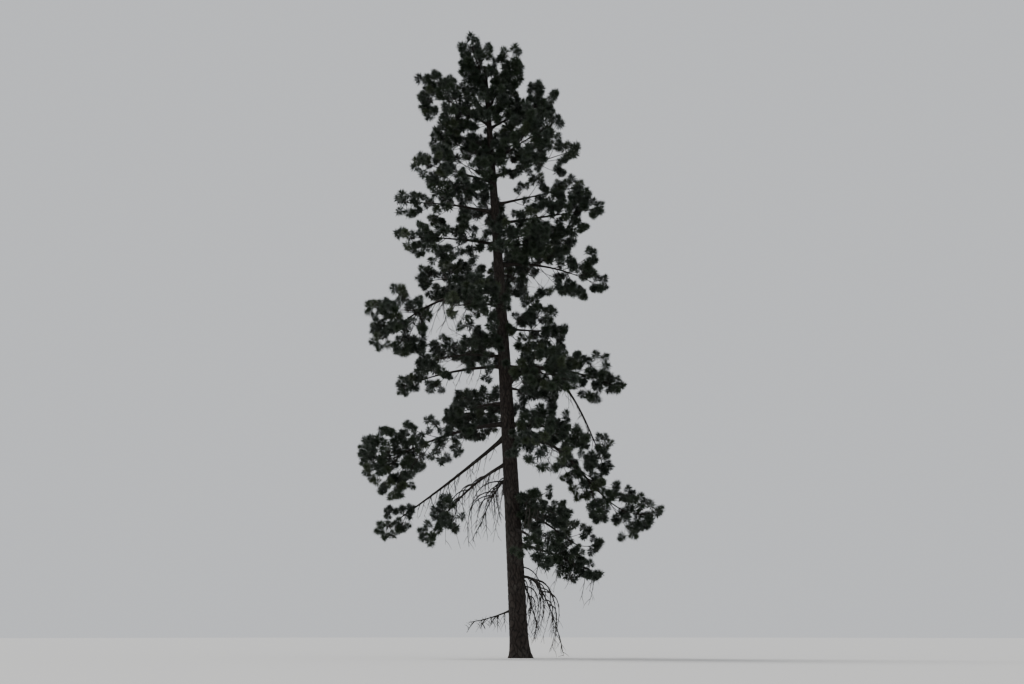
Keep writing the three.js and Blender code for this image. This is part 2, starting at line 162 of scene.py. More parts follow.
def bark_relief(turn, along, plates, seed):
    """Bark on a stem: how far it stands out, a mask that is 1 on the plates and 0 in the furrows, and each
    plate's tone. turn is the angle round the stem and along counts plates up it. Plates are domed, furrows
    that run across are half as deep, and each plate carries smaller scales."""
    u = waved(plates.around * turn / (2.0 * np.pi), WAVES_ACROSS, turn, along, seed)
    v = waved(along, WAVES_ALONG, turn, along, seed)
    border, upright, tone = cells(u, v, plates.around, seed)
    plate = smooth_step(0.0, plates.furrow, border)
    scale_border, _, scale_tone = cells(
        plates.scales * u, plates.scales * v, plates.scales * plates.around, seed + SCALE_DICE)
    scale = smooth_step(0.0, SCALE_EDGE, scale_border) * (SCALE_LEAST + (1.0 - SCALE_LEAST) * scale_tone)
    furrow = (1.0 - plate) * (CROSS_FURROW + (1.0 - CROSS_FURROW) * upright)
    dome = PLATE_DOME * smooth_step(0.0, 1.0, border)
    height = plates.depth * (dome - furrow) + plates.scale_depth * (scale - 0.5) * plate
    return height, 1.0 - furrow, (1.0 - SCALE_TONE) * tone + SCALE_TONE * scale_tone


def wall_faces(tubes, rings, sides):
    """Faces of closed tubes: four-sided ones between neighbouring rings, and three-sided ones to a pole at
    either end. A tube's rings come first, then the two poles of each tube."""
    t, j, s = np.meshgrid(np.arange(tubes), np.arange(rings - 1), np.arange(sides), indexing="ij")
    here = (t * rings + j) * sides
    step = (s + 1) % sides
    walls = np.stack([here + s, here + step, here + sides + step, here + sides + s], axis=-1).reshape(-1, 4)
    t, s = np.meshgrid(np.arange(tubes), np.arange(sides), indexing="ij")
    step = (s + 1) % sides
    first = t * rings * sides
    last = first + (rings - 1) * sides
    pole = tubes * rings * sides + 2 * t
    foot = np.stack([pole, first + step, first + s], axis=-1).reshape(-1, 3)
    head = np.stack([pole + 1, last + s, last + step], axis=-1).reshape(-1, 3)
    return walls, np.concatenate([foot, head])


def joined(parts):
    """Several (points, four-sided faces, three-sided faces, plate mask, tone) as one, with the face numbers
    moved on."""
    starts = np.cumsum([0] + [len(part[0]) for part in parts[:-1]])
    points = np.concatenate([part[0] for part in parts])
    fours = np.concatenate([part[1] + start for part, start in zip(parts, starts)])
    threes = np.concatenate([part[2] + start for part, start in zip(parts, starts)])
    plate = np.concatenate([part[3] for part in parts])
    tone = np.concatenate([part[4] for part in parts])
    return points, fours, threes, plate, tone


def make_piece(name, points, face_sets, smooth):
    """A mesh object at the origin from its points and from arrays of faces. smooth holds one truth for each
    array of faces."""
    mesh = bpy.data.meshes.new(name)
    corners = np.concatenate([faces.ravel() for faces in face_sets]).astype(np.int32)
    sizes = np.concatenate([np.full(len(faces), faces.shape[1]) for faces in face_sets])
    starts = (np.cumsum(sizes) - sizes).astype(np.int32)
    mesh.vertices.add(len(points))
    mesh.vertices.foreach_set("co", points.astype(np.float32).ravel())
    mesh.loops.add(len(corners))
    mesh.loops.foreach_set("vertex_index", corners)
    mesh.polygons.add(len(sizes))
    mesh.polygons.foreach_set("loop_start", starts)
    smoothness = np.concatenate([np.full(len(f), s) for f, s in zip(face_sets, smooth)])
    mesh.polygons.foreach_set("use_smooth", smoothness)
    mesh.update(calc_edges=True)
    mesh.validate()
    piece = bpy.data.objects.new(name, mesh)
    bpy.context.scene.collection.objects.link(piece)
    return piece


def add_values(piece, name, values):
    """A number for each point of a piece, which its material reads by name."""
    attribute = piece.data.attributes.new(name, "FLOAT", "POINT")
    attribute.data.foreach_set("value", values.astype(np.float32))


NOISE_ROUGHNESS = 0.62
GRAIN_DRAWN_OUT = (1.0, 1.0, 0.22)
GRAIN_DETAIL = 4.0
WEATHER_SCALE, WEATHER_DETAIL = 1.7, 3.0
FLECK_SCALE, FLECK_DETAIL = 21.0, 5.0
TONE_SHARE, GRAIN_SHARE, WEATHER_SHARE = 0.55, 0.7, 0.5
DARK_TO_LIGHT = (0.45, 1.15)
LICHEN_STARTS = (1.02, 1.22)
GRAIN_RANGE = (0.3, 0.7)
BARK_ROUGHNESS = (0.98, 0.82)
BARK_GLOSS = 0.25
BUMP_STRENGTH = 0.7


def bark_group():
    """The look of any wood here as a shader group. Plates mix from dark to light by their own tone, slow
    patches of weather and fine grain drawn out along the stem. Furrows go to their own colour, and grey
    lichen settles on the weathered patches. Height is the grain, for a bump."""
    group = bpy.data.node_groups.new("bark_surface", "ShaderNodeTree")
    face = group.interface
    for socket, kind in (
        ("Vector", "NodeSocketVector"), ("Plate", "NodeSocketFloat"), ("Tone", "NodeSocketFloat"),
        ("Furrow", "NodeSocketColor"), ("Dark", "NodeSocketColor"), ("Light", "NodeSocketColor"),
        ("Lichen", "NodeSocketColor"), ("Lichen Share", "NodeSocketFloat"), ("Grain", "NodeSocketFloat"),
    ):
        face.new_socket(name=socket, in_out="INPUT", socket_type=kind)
    for socket, kind in (
        ("Color", "NodeSocketColor"), ("Roughness", "NodeSocketFloat"), ("Height", "NodeSocketFloat"),
    ):
        face.new_socket(name=socket, in_out="OUTPUT", socket_type=kind)
    nodes, links = group.nodes, group.links
    given = nodes.new("NodeGroupInput")
    result = nodes.new("NodeGroupOutput")

    def noise(vector, scale, detail):
        """Noise at a scale that is a number or another node's value."""
        node = nodes.new("ShaderNodeTexNoise")
        node.inputs["Detail"].default_value = detail
        node.inputs["Roughness"].default_value = NOISE_ROUGHNESS
        links.new(vector, node.inputs["Vector"])
        if isinstance(scale, float):
            node.inputs["Scale"].default_value = scale
        else:
            links.new(scale, node.inputs["Scale"])
        return node.outputs["Fac"]

    def maths(operation, a, b):
        """A sum or a product of two values, each a number or another node's value."""
        node = nodes.new("ShaderNodeMath")
        node.operation = operation
        for place, value in enumerate((a, b)):
            if isinstance(value, float):
                node.inputs[place].default_value = value
            else:
                links.new(value, node.inputs[place])
        return node.outputs[0]

    def ranged(value, low, high, to_low, to_high):
        """A value from low to high, moved to the range from to_low to to_high."""
        node = nodes.new("ShaderNodeMapRange")
        for place, number in enumerate((low, high, to_low, to_high), start=1):
            node.inputs[place].default_value = number
        links.new(value, node.inputs[0])
        return node.outputs[0]

    def mixed(share, a, b):
        """Colour a where the share is 0, and b where it is 1."""
        node = nodes.new("ShaderNodeMix")
        node.data_type = "RGBA"
        links.new(share, node.inputs["Factor"])
        links.new(a, node.inputs["A"])
        links.new(b, node.inputs["B"])
        return node.outputs["Result"]

    drawn_out = nodes.new("ShaderNodeMapping")
    drawn_out.inputs["Scale"].default_value = GRAIN_DRAWN_OUT
    links.new(given.outputs["Vector"], drawn_out.inputs["Vector"])
    weather = noise(given.outputs["Vector"], WEATHER_SCALE, WEATHER_DETAIL)
    grain = noise(drawn_out.outputs[0], given.outputs["Grain"], GRAIN_DETAIL)
    flecks = noise(given.outputs["Vector"], FLECK_SCALE, FLECK_DETAIL)
    share = maths("ADD", maths("MULTIPLY", given.outputs["Tone"], TONE_SHARE),
                  maths("MULTIPLY", grain, GRAIN_SHARE))
    share = maths("ADD", share, maths("MULTIPLY", weather, WEATHER_SHARE))
    wood = mixed(ranged(share, *DARK_TO_LIGHT, 0.0, 1.0), given.outputs["Dark"], given.outputs["Light"])
    patches = maths("MULTIPLY", ranged(maths("ADD", weather, flecks), *LICHEN_STARTS, 0.0, 1.0),
                    given.outputs["Lichen Share"])
    grown = mixed(patches, wood, given.outputs["Lichen"])
    color = mixed(given.outputs["Plate"], given.outputs["Furrow"], grown)
    links.new(color, result.inputs["Color"])
    links.new(ranged(grain, *GRAIN_RANGE, *BARK_ROUGHNESS), result.inputs["Roughness"])
    links.new(grain, result.inputs["Height"])
    return group


bark_surface = bark_group()


def wood_material(name, furrow, dark, light, lichen, lichen_share, grain, bump):
    """A wood in the colours it is given: the shared bark look on Object coordinates and on the piece's own
    plate and tone values, with a fine bump."""
    material = bpy.data.materials.new(name)
    material.use_nodes = True
    nodes, links = material.node_tree.nodes, material.node_tree.links
    shader = nodes["Principled BSDF"]
    shader.inputs["Specular IOR Level"].default_value = BARK_GLOSS
    look = nodes.new("ShaderNodeGroup")
    look.node_tree = bark_surface
    place = nodes.new("ShaderNodeTexCoord")
    links.new(place.outputs["Object"], look.inputs["Vector"])
    for value in ("plate", "tone"):
        reader = nodes.new("ShaderNodeAttribute")
        reader.attribute_name = value
        links.new(reader.outputs["Fac"], look.inputs[value.capitalize()])
    for socket, color in (("Furrow", furrow), ("Dark", dark), ("Light", light), ("Lichen", lichen)):
        look.inputs[socket].default_value = (*color, 1.0)
    look.inputs["Lichen Share"].default_value = lichen_share
    look.inputs["Grain"].default_value = grain
    raised = nodes.new("ShaderNodeBump")
    raised.inputs["Strength"].default_value = BUMP_STRENGTH
    raised.inputs["Distance"].default_value = bump
    links.new(look.outputs["Height"], raised.inputs["Height"])
    links.new(look.outputs["Color"], shader.inputs["Base Color"])
    links.new(look.outputs["Roughness"], shader.inputs["Roughness"])
    links.new(raised.outputs["Normal"], shader.inputs["Normal"])
    return material


def trunk_surface():
    """Level rings that crowd towards the foot: height = top · t to the crowding power. Each ring's radius
    is (taper + flare)·lobe plus the bark's relief, where the flare fades as e to the -z / flare height and
    the lobes are a cosine round the foot. Furrows grow shallower as the stem thins."""
    t = np.linspace(0.0, 1.0, TRUNK_RINGS)[:, None]
    turn = np.linspace(0.0, 2.0 * np.pi, TRUNK_SIDES, endpoint=False)[None, :]
    z = TRUNK_TOP * t ** TRUNK_CROWDING + 0.0 * turn
    turn = turn + 0.0 * t
    flare = np.exp(-z / FLARE_HEIGHT)
    lobe = 1.0 + LOBE_DEPTH * flare * np.cos(ROOT_LOBES * turn)
    thinning = (1.0 - z / TREE_HEIGHT) ** TAPER_POWER
    along = z / TRUNK_PLATES.height * (1.0 + PLATES_SHORTEN * z)
    relief, plate, tone = bark_relief(turn, along, TRUNK_PLATES, TRUNK_SEED)
    radius = (trunk_radius(z) + FLARE * flare) * lobe + relief * thinning
    ring = np.stack([np.cos(turn), np.sin(turn), 0.0 * turn], axis=-1)
    walls = (trunk_centre(z) + radius[..., None] * ring).reshape(-1, 3)
    poles = np.stack([trunk_centre(0.0), trunk_centre(TRUNK_TOP + TRUNK_POINT)])
    fours, threes = wall_faces(1, TRUNK_RINGS, TRUNK_SIDES)
    points = np.concatenate([walls, poles])
    plate = np.concatenate([plate.ravel(), [1.0, 1.0]])
    tone = np.concatenate([tone.ravel(), [0.5, 0.5]])
    return points, fours, threes, plate, tone


points, fours, threes, plate, tone = trunk_surface()
trunk = make_piece("trunk_bark", points, [fours, threes], [True, False])
add_values(trunk, "plate", plate)
add_values(trunk, "tone", tone)
# Painted shade: these bark colours are the trunk's own dark brown and black, darkened further so that the
# trunk shows near-black like a tree seen against the light.
trunk.data.materials.append(wood_material(
    "plated_bark_with_painted_shade", furrow=(0.007, 0.006, 0.005), dark=(0.019, 0.014, 0.012), light=(0.044, 0.035, 0.030),
    lichen=(0.07, 0.07, 0.062), lichen_share=0.4, grain=42.0, bump=0.006))
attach(trunk, "root")
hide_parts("trunk")

# The boughs. Each is one limb that leaves the trunk from a swollen collar, thins as it reaches out, and
# goes on as a stem where the needles start. Their bark is finer and flatter than the trunk's.
LIMB_ROOT = 0.016
LIMB_ROOT_PER_LENGTH = 0.011
LIMB_OF_TRUNK = 0.5
LIMB_TIP = 0.012
LIMB_TAPER = 0.8
SWAY = 0.12
SWAY_DICE = 90
COLLAR = 0.55
COLLAR_LENGTH = 0.11
LIMB_IN_TRUNK = 0.05
LINE_STEP = 0.01
FULL_RELIEF_RADIUS = 0.06
LIMB_PLATES = SimpleNamespace(around=8, height=0.10, depth=0.0045, furrow=0.34, scales=2, scale_depth=0.0014)
BOUGH_SIDES = 26
BOUGH_STEP = 0.022


def branch(name, height, turn, reach, rise, width, depth, arch=0.0, hook=0.0, bare=0.0, limb=False,
           swell=1.0, full=1.0):
    """One branch of the crown. It leaves the trunk at height, its tip is reach out and rise up from there
    on the compass angle turn, arch lifts its middle, and hook lifts its inner half and drops its outer one.
    Foliage starts at the share bare of its length and is twice width across and twice depth upright. swell
    above 1 moves its bulk outwards, and full thickens it."""
    return SimpleNamespace(name=name, height=height, turn=turn, reach=reach, rise=rise, width=width,
                           depth=depth, arch=arch, hook=hook, bare=bare, limb=limb, swell=swell, full=full)


SIDE_BRANCHES = [
    branch("leader_tip", 16.3, 184, 0.56, 1.68, 0.64, 0.64, full=2.4),
    branch("second_leader", 15.7, -12, 0.86, 1.95, 0.64, 0.64, full=2.1),
    branch("left_crest", 15.3, 174, 2.2, 1.35, 0.86, 0.84, full=1.4),
    branch("right_crest", 15.2, 14, 2.1, 1.15, 0.8, 0.88, full=1.5),
    branch("left_upper", 14.4, 142, 2.3, 0.75, 0.8, 0.96, full=1.2),
    branch("right_upper", 14.2, -38, 2.6, 1.1, 0.76, 1.01, full=1.3),
    branch("left_shoulder", 13.65, 213, 2.8, 0.45, 0.76, 0.91, full=1.2),
    branch("right_shoulder", 13.8, 28, 2.9, 1.0, 0.64, 0.73, bare=0.3),
    branch("right_wisp", 13.0, 24, 2.9, 0.7, 0.56, 0.65, bare=0.22, full=0.8),
    branch("left_high", 12.75, 168, 3, 0.35, 0.8, 0.83, arch=0.12, bare=0.05, full=0.8),
    branch("right_wing", 12.45, -10, 3.25, 0.45, 0.7, 0.94, bare=0.36, limb=True),
    branch("left_spread", 11.85, 194, 3.1, 0.1, 0.72, 0.78, arch=0.1, bare=0.05, swell=0.7),
    branch("right_inner_high", 11.85, 42, 3, 0.15, 0.66, 0.7, bare=0.12),
    branch("right_elbow", 11.25, 4, 3.25, -0.75, 0.74, 0.96, arch=0.3, bare=0.2, limb=True),
    branch("left_shelf", 10.65, 140, 3.15, 0.25, 0.78, 0.83, arch=0.16, swell=1.4, full=1.1),
    branch("left_wing", 10.45, 186, 3.75, -1.7, 0.84, 1.17, arch=0.56, bare=0.6, limb=True),
    branch("right_middle", 9.42, 38, 2.5, -0.03, 0.74, 1.04),
    branch("left_middle", 8.6, 208, 2.85, -0.35, 0.74, 0.83, arch=0.2, swell=0.5, full=0.9),
    branch("right_ring", 8.3, -12, 3.55, -0.7, 0.7, 0.91, arch=0.26, bare=0.36, limb=True, full=1),
    branch("left_fringe", 8.35, 160, 3.45, -0.65, 0.62, 0.62, arch=0.15, bare=0.46, limb=True, full=0.8),
    branch("right_inner", 7.75, 50, 2.45, -0.25, 0.76, 0.91, full=0.85),
    branch("left_inner", 7.3, 144, 2.3, -0.5, 0.74, 0.73, arch=0.12, full=0.8),
    branch("right_shelf", 6.65, -38, 2.95, -0.6, 0.68, 0.68, arch=0.2, bare=0.1),
    branch("left_long", 6.7, 187, 4.25, -1.6, 0.84, 1.27, arch=0.33, bare=0.26, limb=True, swell=4.2,
           full=1.1),
    branch("right_pendant", 7.75, 17, 3.15, -2.8, 0.52, 0.6, arch=1.7, bare=0.82, limb=True, full=0.8),
    branch("left_bare", 6.4, 175, 3.8, -2.85, 0.54, 0.58, arch=-0.08, bare=0.76, limb=True, full=0.8),
    branch("left_hanging", 5.6, 203, 2.7, -2.4, 0.6, 0.68, arch=0.3, bare=0.6, limb=True, full=0.6),
    branch("right_low", 6.15, -8, 4.4, -1.95, 0.78, 0.86, hook=0.48, bare=0.16, limb=True, swell=2.4,
           full=1.15),
    branch("right_lap", 4.5, -52, 2.6, -0.6, 0.68, 0.6, arch=0.06, full=0.4),
    branch("right_skirt", 4.15, 26, 2.95, -0.75, 0.72, 0.78, arch=-0.24, hook=0.2, full=0.55),
    branch("right_lowest", 3.3, -6, 2.6, -1.05, 0.66, 0.62, arch=0.12, bare=0.3, limb=True),
]

# The branches towards -Y and +Y follow a rule: long and drooping low down, short and rising near the top.
# The two lowest are thin, and a gap parts them from the rest.
DEPTH_BRANCHES = 13
DEPTH_LOW_BRANCHES = 2
DEPTH_LOWEST = 3.7
DEPTH_SPACING = 0.92
DEPTH_GAP = 0.8
DEPTH_LOW_FULL = 0.38
DEPTH_FAN = 38
DEPTH_FAN_LEAST = 0.3
DEPTH_REACH_LEAST = 0.86
DEPTH_WIDTH, DEPTH_DEPTH = 0.88, 0.84
DEPTH_RISE = (-1.1, 0.9)
DEPTH_ARCH = 0.18
DEPTH_BARE = 0.3
CROWN_REACH = 3.6
CROWN_WIDEST = 5.0
CROWN_FULLNESS = 2.2
FAN_DICE, REACH_DICE, DEPTH_SIDE_DICE = 7, 8, 1056


def depth_branch(k):
    """The k-th branch of the rule, to the front for even k and to the back for odd k."""
    low = k < DEPTH_LOW_BRANCHES
    height = DEPTH_LOWEST + DEPTH_SPACING * k + (0.0 if low else DEPTH_GAP)
    front = k % 2 == 0
    to_the_right = chance(k, DEPTH_SIDE_DICE) < 0.5
    sense = 1 if to_the_right == front else -1
    fan = sense * DEPTH_FAN * between(DEPTH_FAN_LEAST, 1.0, k, FAN_DICE)
    climb = max(0.0, height - CROWN_WIDEST) / (TREE_HEIGHT - CROWN_WIDEST)
    rising = (height - DEPTH_LOWEST) / (TRUNK_TOP - DEPTH_LOWEST)
    reach = CROWN_REACH * (1.0 - climb ** CROWN_FULLNESS) * between(DEPTH_REACH_LEAST, 1.0, k, REACH_DICE)
    rise = DEPTH_RISE[0] + (DEPTH_RISE[1] - DEPTH_RISE[0]) * rising
    return branch(f"{'front' if front else 'back'}_{1 + k // 2}", height, (270 if front else 90) + fan, reach,
                  rise, DEPTH_WIDTH, DEPTH_DEPTH, arch=DEPTH_ARCH * (1.0 - climb),
                  bare=DEPTH_BARE * (1.0 - climb), full=DEPTH_LOW_FULL if low else 1.0)


def branch_line(b, seed):
    """A branch's middle line: where it runs, its direction and its thickness, each for any share t of its
    reach. The root's radius grows with the length and is at most a share of the trunk's."""
    angle = np.radians(b.turn)
    out = np.array([np.cos(angle), np.sin(angle), 0.0])
    across = np.array([-np.sin(angle), np.cos(angle), 0.0])
    sway = b.reach * between(-SWAY, SWAY, seed, SWAY_DICE) / 2.0
    root = trunk_centre(b.height)
    length = np.hypot(b.reach, b.rise) + abs(b.arch) + abs(b.hook)
    root_radius = min(LIMB_ROOT + LIMB_ROOT_PER_LENGTH * length, LIMB_OF_TRUNK * trunk_radius(b.height))

    def point(t):
        """The root on the trunk's middle line, plus reach·t outwards, plus a sway of sin(πt) across, plus
        rise·t + 4·arch·t(1 - t) + hook·sin(2πt) upwards."""
        t = np.asarray(t, float)[..., None]
        lift = b.rise * t + 4.0 * b.arch * t * (1.0 - t) + b.hook * np.sin(2.0 * np.pi * t)
        return root + out * b.reach * t + across * sway * np.sin(np.pi * t) + UP * lift

    def directions(t):
        """The line's own direction and the two across it."""
        t = np.asarray(t, float)
        along = unit(point(t + LINE_STEP) - point(t - LINE_STEP))
        side = unit(across - along * (along @ across)[..., None])
        return along, side, np.cross(along, side)

    def radius(t):
        """From the root's radius down to the tip's, by t to the taper."""
        return root_radius + (LIMB_TIP - root_radius) * t ** LIMB_TAPER

    return SimpleNamespace(point=point, directions=directions, radius=radius, length=length)


def limb_surface(b, line, start, end, sides, step, plates, seed, tip_share=1.0):
    """The wood of a branch from the share start of its reach to the share end: rings across its line, whose
    radius is the line's own, times 1 + collar·e to the -distance from the trunk / collar length, plus the
    bark's relief, which is less on thin wood. tip_share below 1 thins the last part further."""
    rings = max(4, int(round((end - start) * line.length / step)))
    t = np.linspace(start, end, rings)
    _, side, upright = line.directions(t)
    turn = np.linspace(0.0, 2.0 * np.pi, sides, endpoint=False)[None, :] + 0.0 * t[:, None]
    from_trunk = np.maximum(t * line.length - trunk_radius(b.height), 0.0)
    radius = line.radius(t) * (1.0 + COLLAR * np.exp(-from_trunk / COLLAR_LENGTH))
    radius = radius * (1.0 + (tip_share - 1.0) * smooth_step(start, end, t))
    along = (t * line.length / plates.height)[:, None] + 0.0 * turn
    relief, plate, tone = bark_relief(turn, along, plates, float(seed))
    size = np.minimum(1.0, radius / FULL_RELIEF_RADIUS)[:, None]
    ring_radius = radius[:, None] + relief * size
    ring = side[:, None, :] * np.cos(turn)[..., None] + upright[:, None, :] * np.sin(turn)[..., None]
    walls = line.point(t)[:, None, :] + ring_radius[..., None] * ring
    poles = line.point(t[[0, -1]])
    fours, threes = wall_faces(1, rings, sides)
    points = np.concatenate([walls.reshape(-1, 3), poles])
    return (points, fours, threes, np.concatenate([plate.ravel(), [1.0, 1.0]]),
            np.concatenate([tone.ravel(), [0.5, 0.5]]))


def inside_trunk(b):
    """The share of a branch's reach at which its wood starts, a little inside the trunk's bark."""
    return max(0.0, trunk_radius(b.height) - LIMB_IN_TRUNK) / b.reach


def make_wood(name, parts, material, replaced):
    """One piece of joined wood, with its finish and its place in the frame."""
    points, fours, threes, plate, tone = joined(parts)
    piece = make_piece(name, points, [fours, threes], [True, True])
    add_values(piece, "plate", plate)
    add_values(piece, "tone", tone)
    piece.data.materials.append(material)
    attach(piece, "root")
    if replaced:
        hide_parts(*replaced)
    return piece


branches = SIDE_BRANCHES + [depth_branch(k) for k in range(DEPTH_BRANCHES)]
for seed, b in enumerate(branches, start=1):
    b.seed = seed
    b.line = branch_line(b, seed)
limbs = [b for b in branches if b.limb]
# Painted shade: this bark's own dark brown is darkened further on boughs, stems and twigs alike, so that they
# show dark like a tree seen against the light and no twig catches a pale gleam.
limb_bark = wood_material(
    "limb_bark", furrow=(0.007, 0.006, 0.005), dark=(0.015, 0.012, 0.010), light=(0.040, 0.032, 0.027),
    lichen=(0.06, 0.063, 0.055), lichen_share=0.4, grain=70.0, bump=0.003)
make_wood(
    "boughs",
    [limb_surface(b, b.line, inside_trunk(b), b.bare, BOUGH_SIDES, BOUGH_STEP, LIMB_PLATES, b.seed)
     for b in limbs],
    limb_bark, [f"bough_{b.name}" for b in limbs])

# The stems. The same limbs carried on through their needles, thinner and smoother, to where the last shoot
# takes over.
SPRAY_RADIUS = 0.47
SPRAY_PER_WIDTH = 0.75
LAST_SPRAY = 0.9
STEM_SIDES = 12
STEM_STEP = 0.04
STEM_TIP_SHARE = 0.6
STEM_OVERLAP = 0.004


def spray_radius(b):
    """A branch's sprays: the common radius, or less where its foliage is narrow."""
    return min(SPRAY_RADIUS, SPRAY_PER_WIDTH * min(b.width, b.depth))


for b in branches:
    b.stem_start = b.bare if b.limb else 0.0
    b.stem_end = 1.0 - LAST_SPRAY * spray_radius(b) / b.line.length
make_wood(
    "stems",
    [limb_surface(b, b.line, b.bare - STEM_OVERLAP if b.limb else inside_trunk(b), b.stem_end, STEM_SIDES,
                  STEM_STEP, LIMB_PLATES, b.seed, STEM_TIP_SHARE) for b in branches],
    limb_bark, [])

# The twigs. One leaves the stem for each spray of needles and forks to the shoots that carry the tufts.
# Where a spray stands is the solids' own rule, and the solids say which sprays were left out or made smaller
# to keep clear of other limbs.
SPRAY_SIZES = (0.86, 1.14)
SPRAY_SPREAD = (0.5, 1.0)
SPRAYS_TRIED = 1.2
SPRAYS_LEAST = 6
SPACING = 1.64
SMALLER = (1.0, 0.8, 0.62)
FILL_SPACING = 0.97
FILL_SIZE = 0.88
GOLDEN_ANGLE = 2.39996
TWIG_SLANT = 0.6
TWIG_BACK = 0.08
LIFT = 0.35
ROOTS_IN = 0.02
SIZE_DICE, PLACE_DICE, SPREAD_DICE, WIND_DICE = 0, 20, 40, 91
TIP_TRIED = 0.85
RAYS = [Vector((0.31, 0.52, 0.80)), Vector((-0.62, 0.17, -0.77)), Vector((0.45, -0.83, 0.33))]
RAY_STEP = 2e-5
SPIKES = [(0.0, 1.0, 0.0)] + [
    (out, along, (i + 0.5) * 2.0 * np.pi / 3.0)
    for out, along in ((0.92, -0.34), (0.86, 0.52)) for i in range(3)]
NECK = 0.5
SHOOT_SHORT = 0.14
SHOOT_REACH = 0.94
SHOOT_UP = 0.28
SHOOT_UNEVEN = 0.22
SHOOT_LENGTHS = (0.88, 1.0)
SHOOT_BEND = 0.5
FORKS_LIVING = (0.3, 0.9)
FORKS_LEAVE = (0.50, 0.86)
LENGTH_DICE, LEAVE_DICE, LIVING_DICE = 60.0, 80.0, 200.0
TRUNK_MARGIN = 0.05
TWIG_RADII, TWIG_STEPS, TWIG_SIDES = (0.011, 0.0045), 8, 6
FORK_RADII, FORK_STEPS, FORK_SIDES = (0.0055, 0.0034), 5, 4
TWIG_TONE, FORK_TONE = 0.0, 9.0
TWIG_TONE_DICE = 5.0
TWIG_PIECES = 2


def node_shape(name):
    """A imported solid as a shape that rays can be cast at."""
    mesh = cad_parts[name].data
    places = np.empty(len(mesh.vertices) * 3, np.float32)
    mesh.vertices.foreach_get("co", places)
    mesh.calc_loop_triangles()
    corners = np.empty(len(mesh.loop_triangles) * 3, np.int32)
    mesh.loop_triangles.foreach_get("vertices", corners)
    return BVHTree.FromPolygons(places.reshape(-1, 3).tolist(), corners.reshape(-1, 3).tolist())


def holds(shape, place):
    """True where a solid holds the place: a ray from there crosses its wall an odd number of times, by the
    majority of three rays."""
    votes = 0
    for ray in RAYS:
        start, crossings = Vector(place), 0
        while True:
            hit = shape.ray_cast(start, ray)[0]
            if hit is None:
                break
            crossings += 1
            start = hit + ray * RAY_STEP
        votes += crossings % 2
    return votes >= 2


def spray_places(b):
    """Where a branch's sprays may stand. Twigs wind round the stem by the golden angle and reach furthest
    out at its middle, by 0.5 + 0.5·sin(π·share to the swell power). The last one carries on the stem."""
    line, radius, end, seed = b.line, spray_radius(b), b.stem_end, b.seed
    volume = (line.length * (end - b.bare) + radius) * 4.0 * b.width * b.depth
    count = max(SPRAYS_LEAST, int(np.floor(SPRAYS_TRIED * b.full * volume / radius ** 3 + 0.5)))
    k = np.arange(count)
    last = k == count - 1
    size = radius * between(*SPRAY_SIZES, seed, k + SIZE_DICE)
    share = np.where(last, 1.0, (k + chance(seed, k + PLACE_DICE)) / count)
    t = b.bare + (end - b.bare) * share
    bulk = np.where(last, 0.0, 0.5 + 0.5 * np.sin(np.pi * share ** b.swell))
    spread = bulk * between(*SPRAY_SPREAD, seed, k + SPREAD_DICE)
    wind = k * GOLDEN_ANGLE + 2.0 * np.pi * chance(seed, WIND_DICE)
    _, side, upright = line.directions(t)
    stem = line.point(t)
    centre = (stem + side * (np.cos(wind) * spread * (b.width - size / 2.0))[:, None]
              + upright * (np.sin(wind) * spread * (b.depth - size / 2.0))[:, None])
    slant = TWIG_BACK + TWIG_SLANT * np.linalg.norm(centre - stem, axis=-1) / line.length
    root = line.point(np.maximum(b.stem_start + ROOTS_IN, t - slant))
    axis = unit(unit(centre - root) + UP * LIFT)
    return root, centre, axis, size


def crowds(centre, others, spacing):
    """True for a place that is nearer than the spacing to any of the other sprays."""
    return any(np.linalg.norm(other.centre - centre) < spacing for other in others)


def own_sprays(b):
    """The sprays of a branch's solid, from the tip inwards: without any that crowds another of its own or
    that the solid doesn't hold, each at the largest size whose tip the solid holds."""
    shape = node_shape(b.name)
    kept = []
    for root, centre, axis, size in list(zip(*spray_places(b)))[::-1]:
        if crowds(centre, kept, SPACING * b.apart) or not holds(shape, centre):
            continue
        fits = [part for part in SMALLER if holds(shape, centre + axis * size * part * TIP_TRIED)]
        kept.append(SimpleNamespace(
            root=root, centre=centre, axis=axis, size=size * (fits or SMALLER[-1:])[0], branch=b))
    return kept


def filled(kept):
    """The kept sprays with smaller ones at the places that none of them crowds, whatever branch it is on."""
    for b in branches:
        for root, centre, axis, size in list(zip(*spray_places(b)))[::-1]:
            if not crowds(centre, kept, FILL_SPACING * b.apart):
                kept.append(SimpleNamespace(
                    root=root, centre=centre, axis=axis, size=size * FILL_SIZE, branch=b))
    return kept


def spray_turn(spray):
    """How a spray stands: the turn from upright to its twig's direction, and on to its own axis."""
    along = Vector(unit(spray.centre - spray.root))
    core = along.rotation_difference(Vector(spray.axis)) @ Vector(UP).rotation_difference(along)
    return np.array(core.to_matrix())


def curve(start, bend, end, steps):
    """Points on the curve (1 - s)²·start + 2s(1 - s)·bend + s²·end, for many curves at once."""
    s = np.linspace(0.0, 1.0, steps)[None, :, None]
    return (1 - s) ** 2 * start[:, None, :] + 2 * s * (1 - s) * bend[:, None, :] + s ** 2 * end[:, None, :]


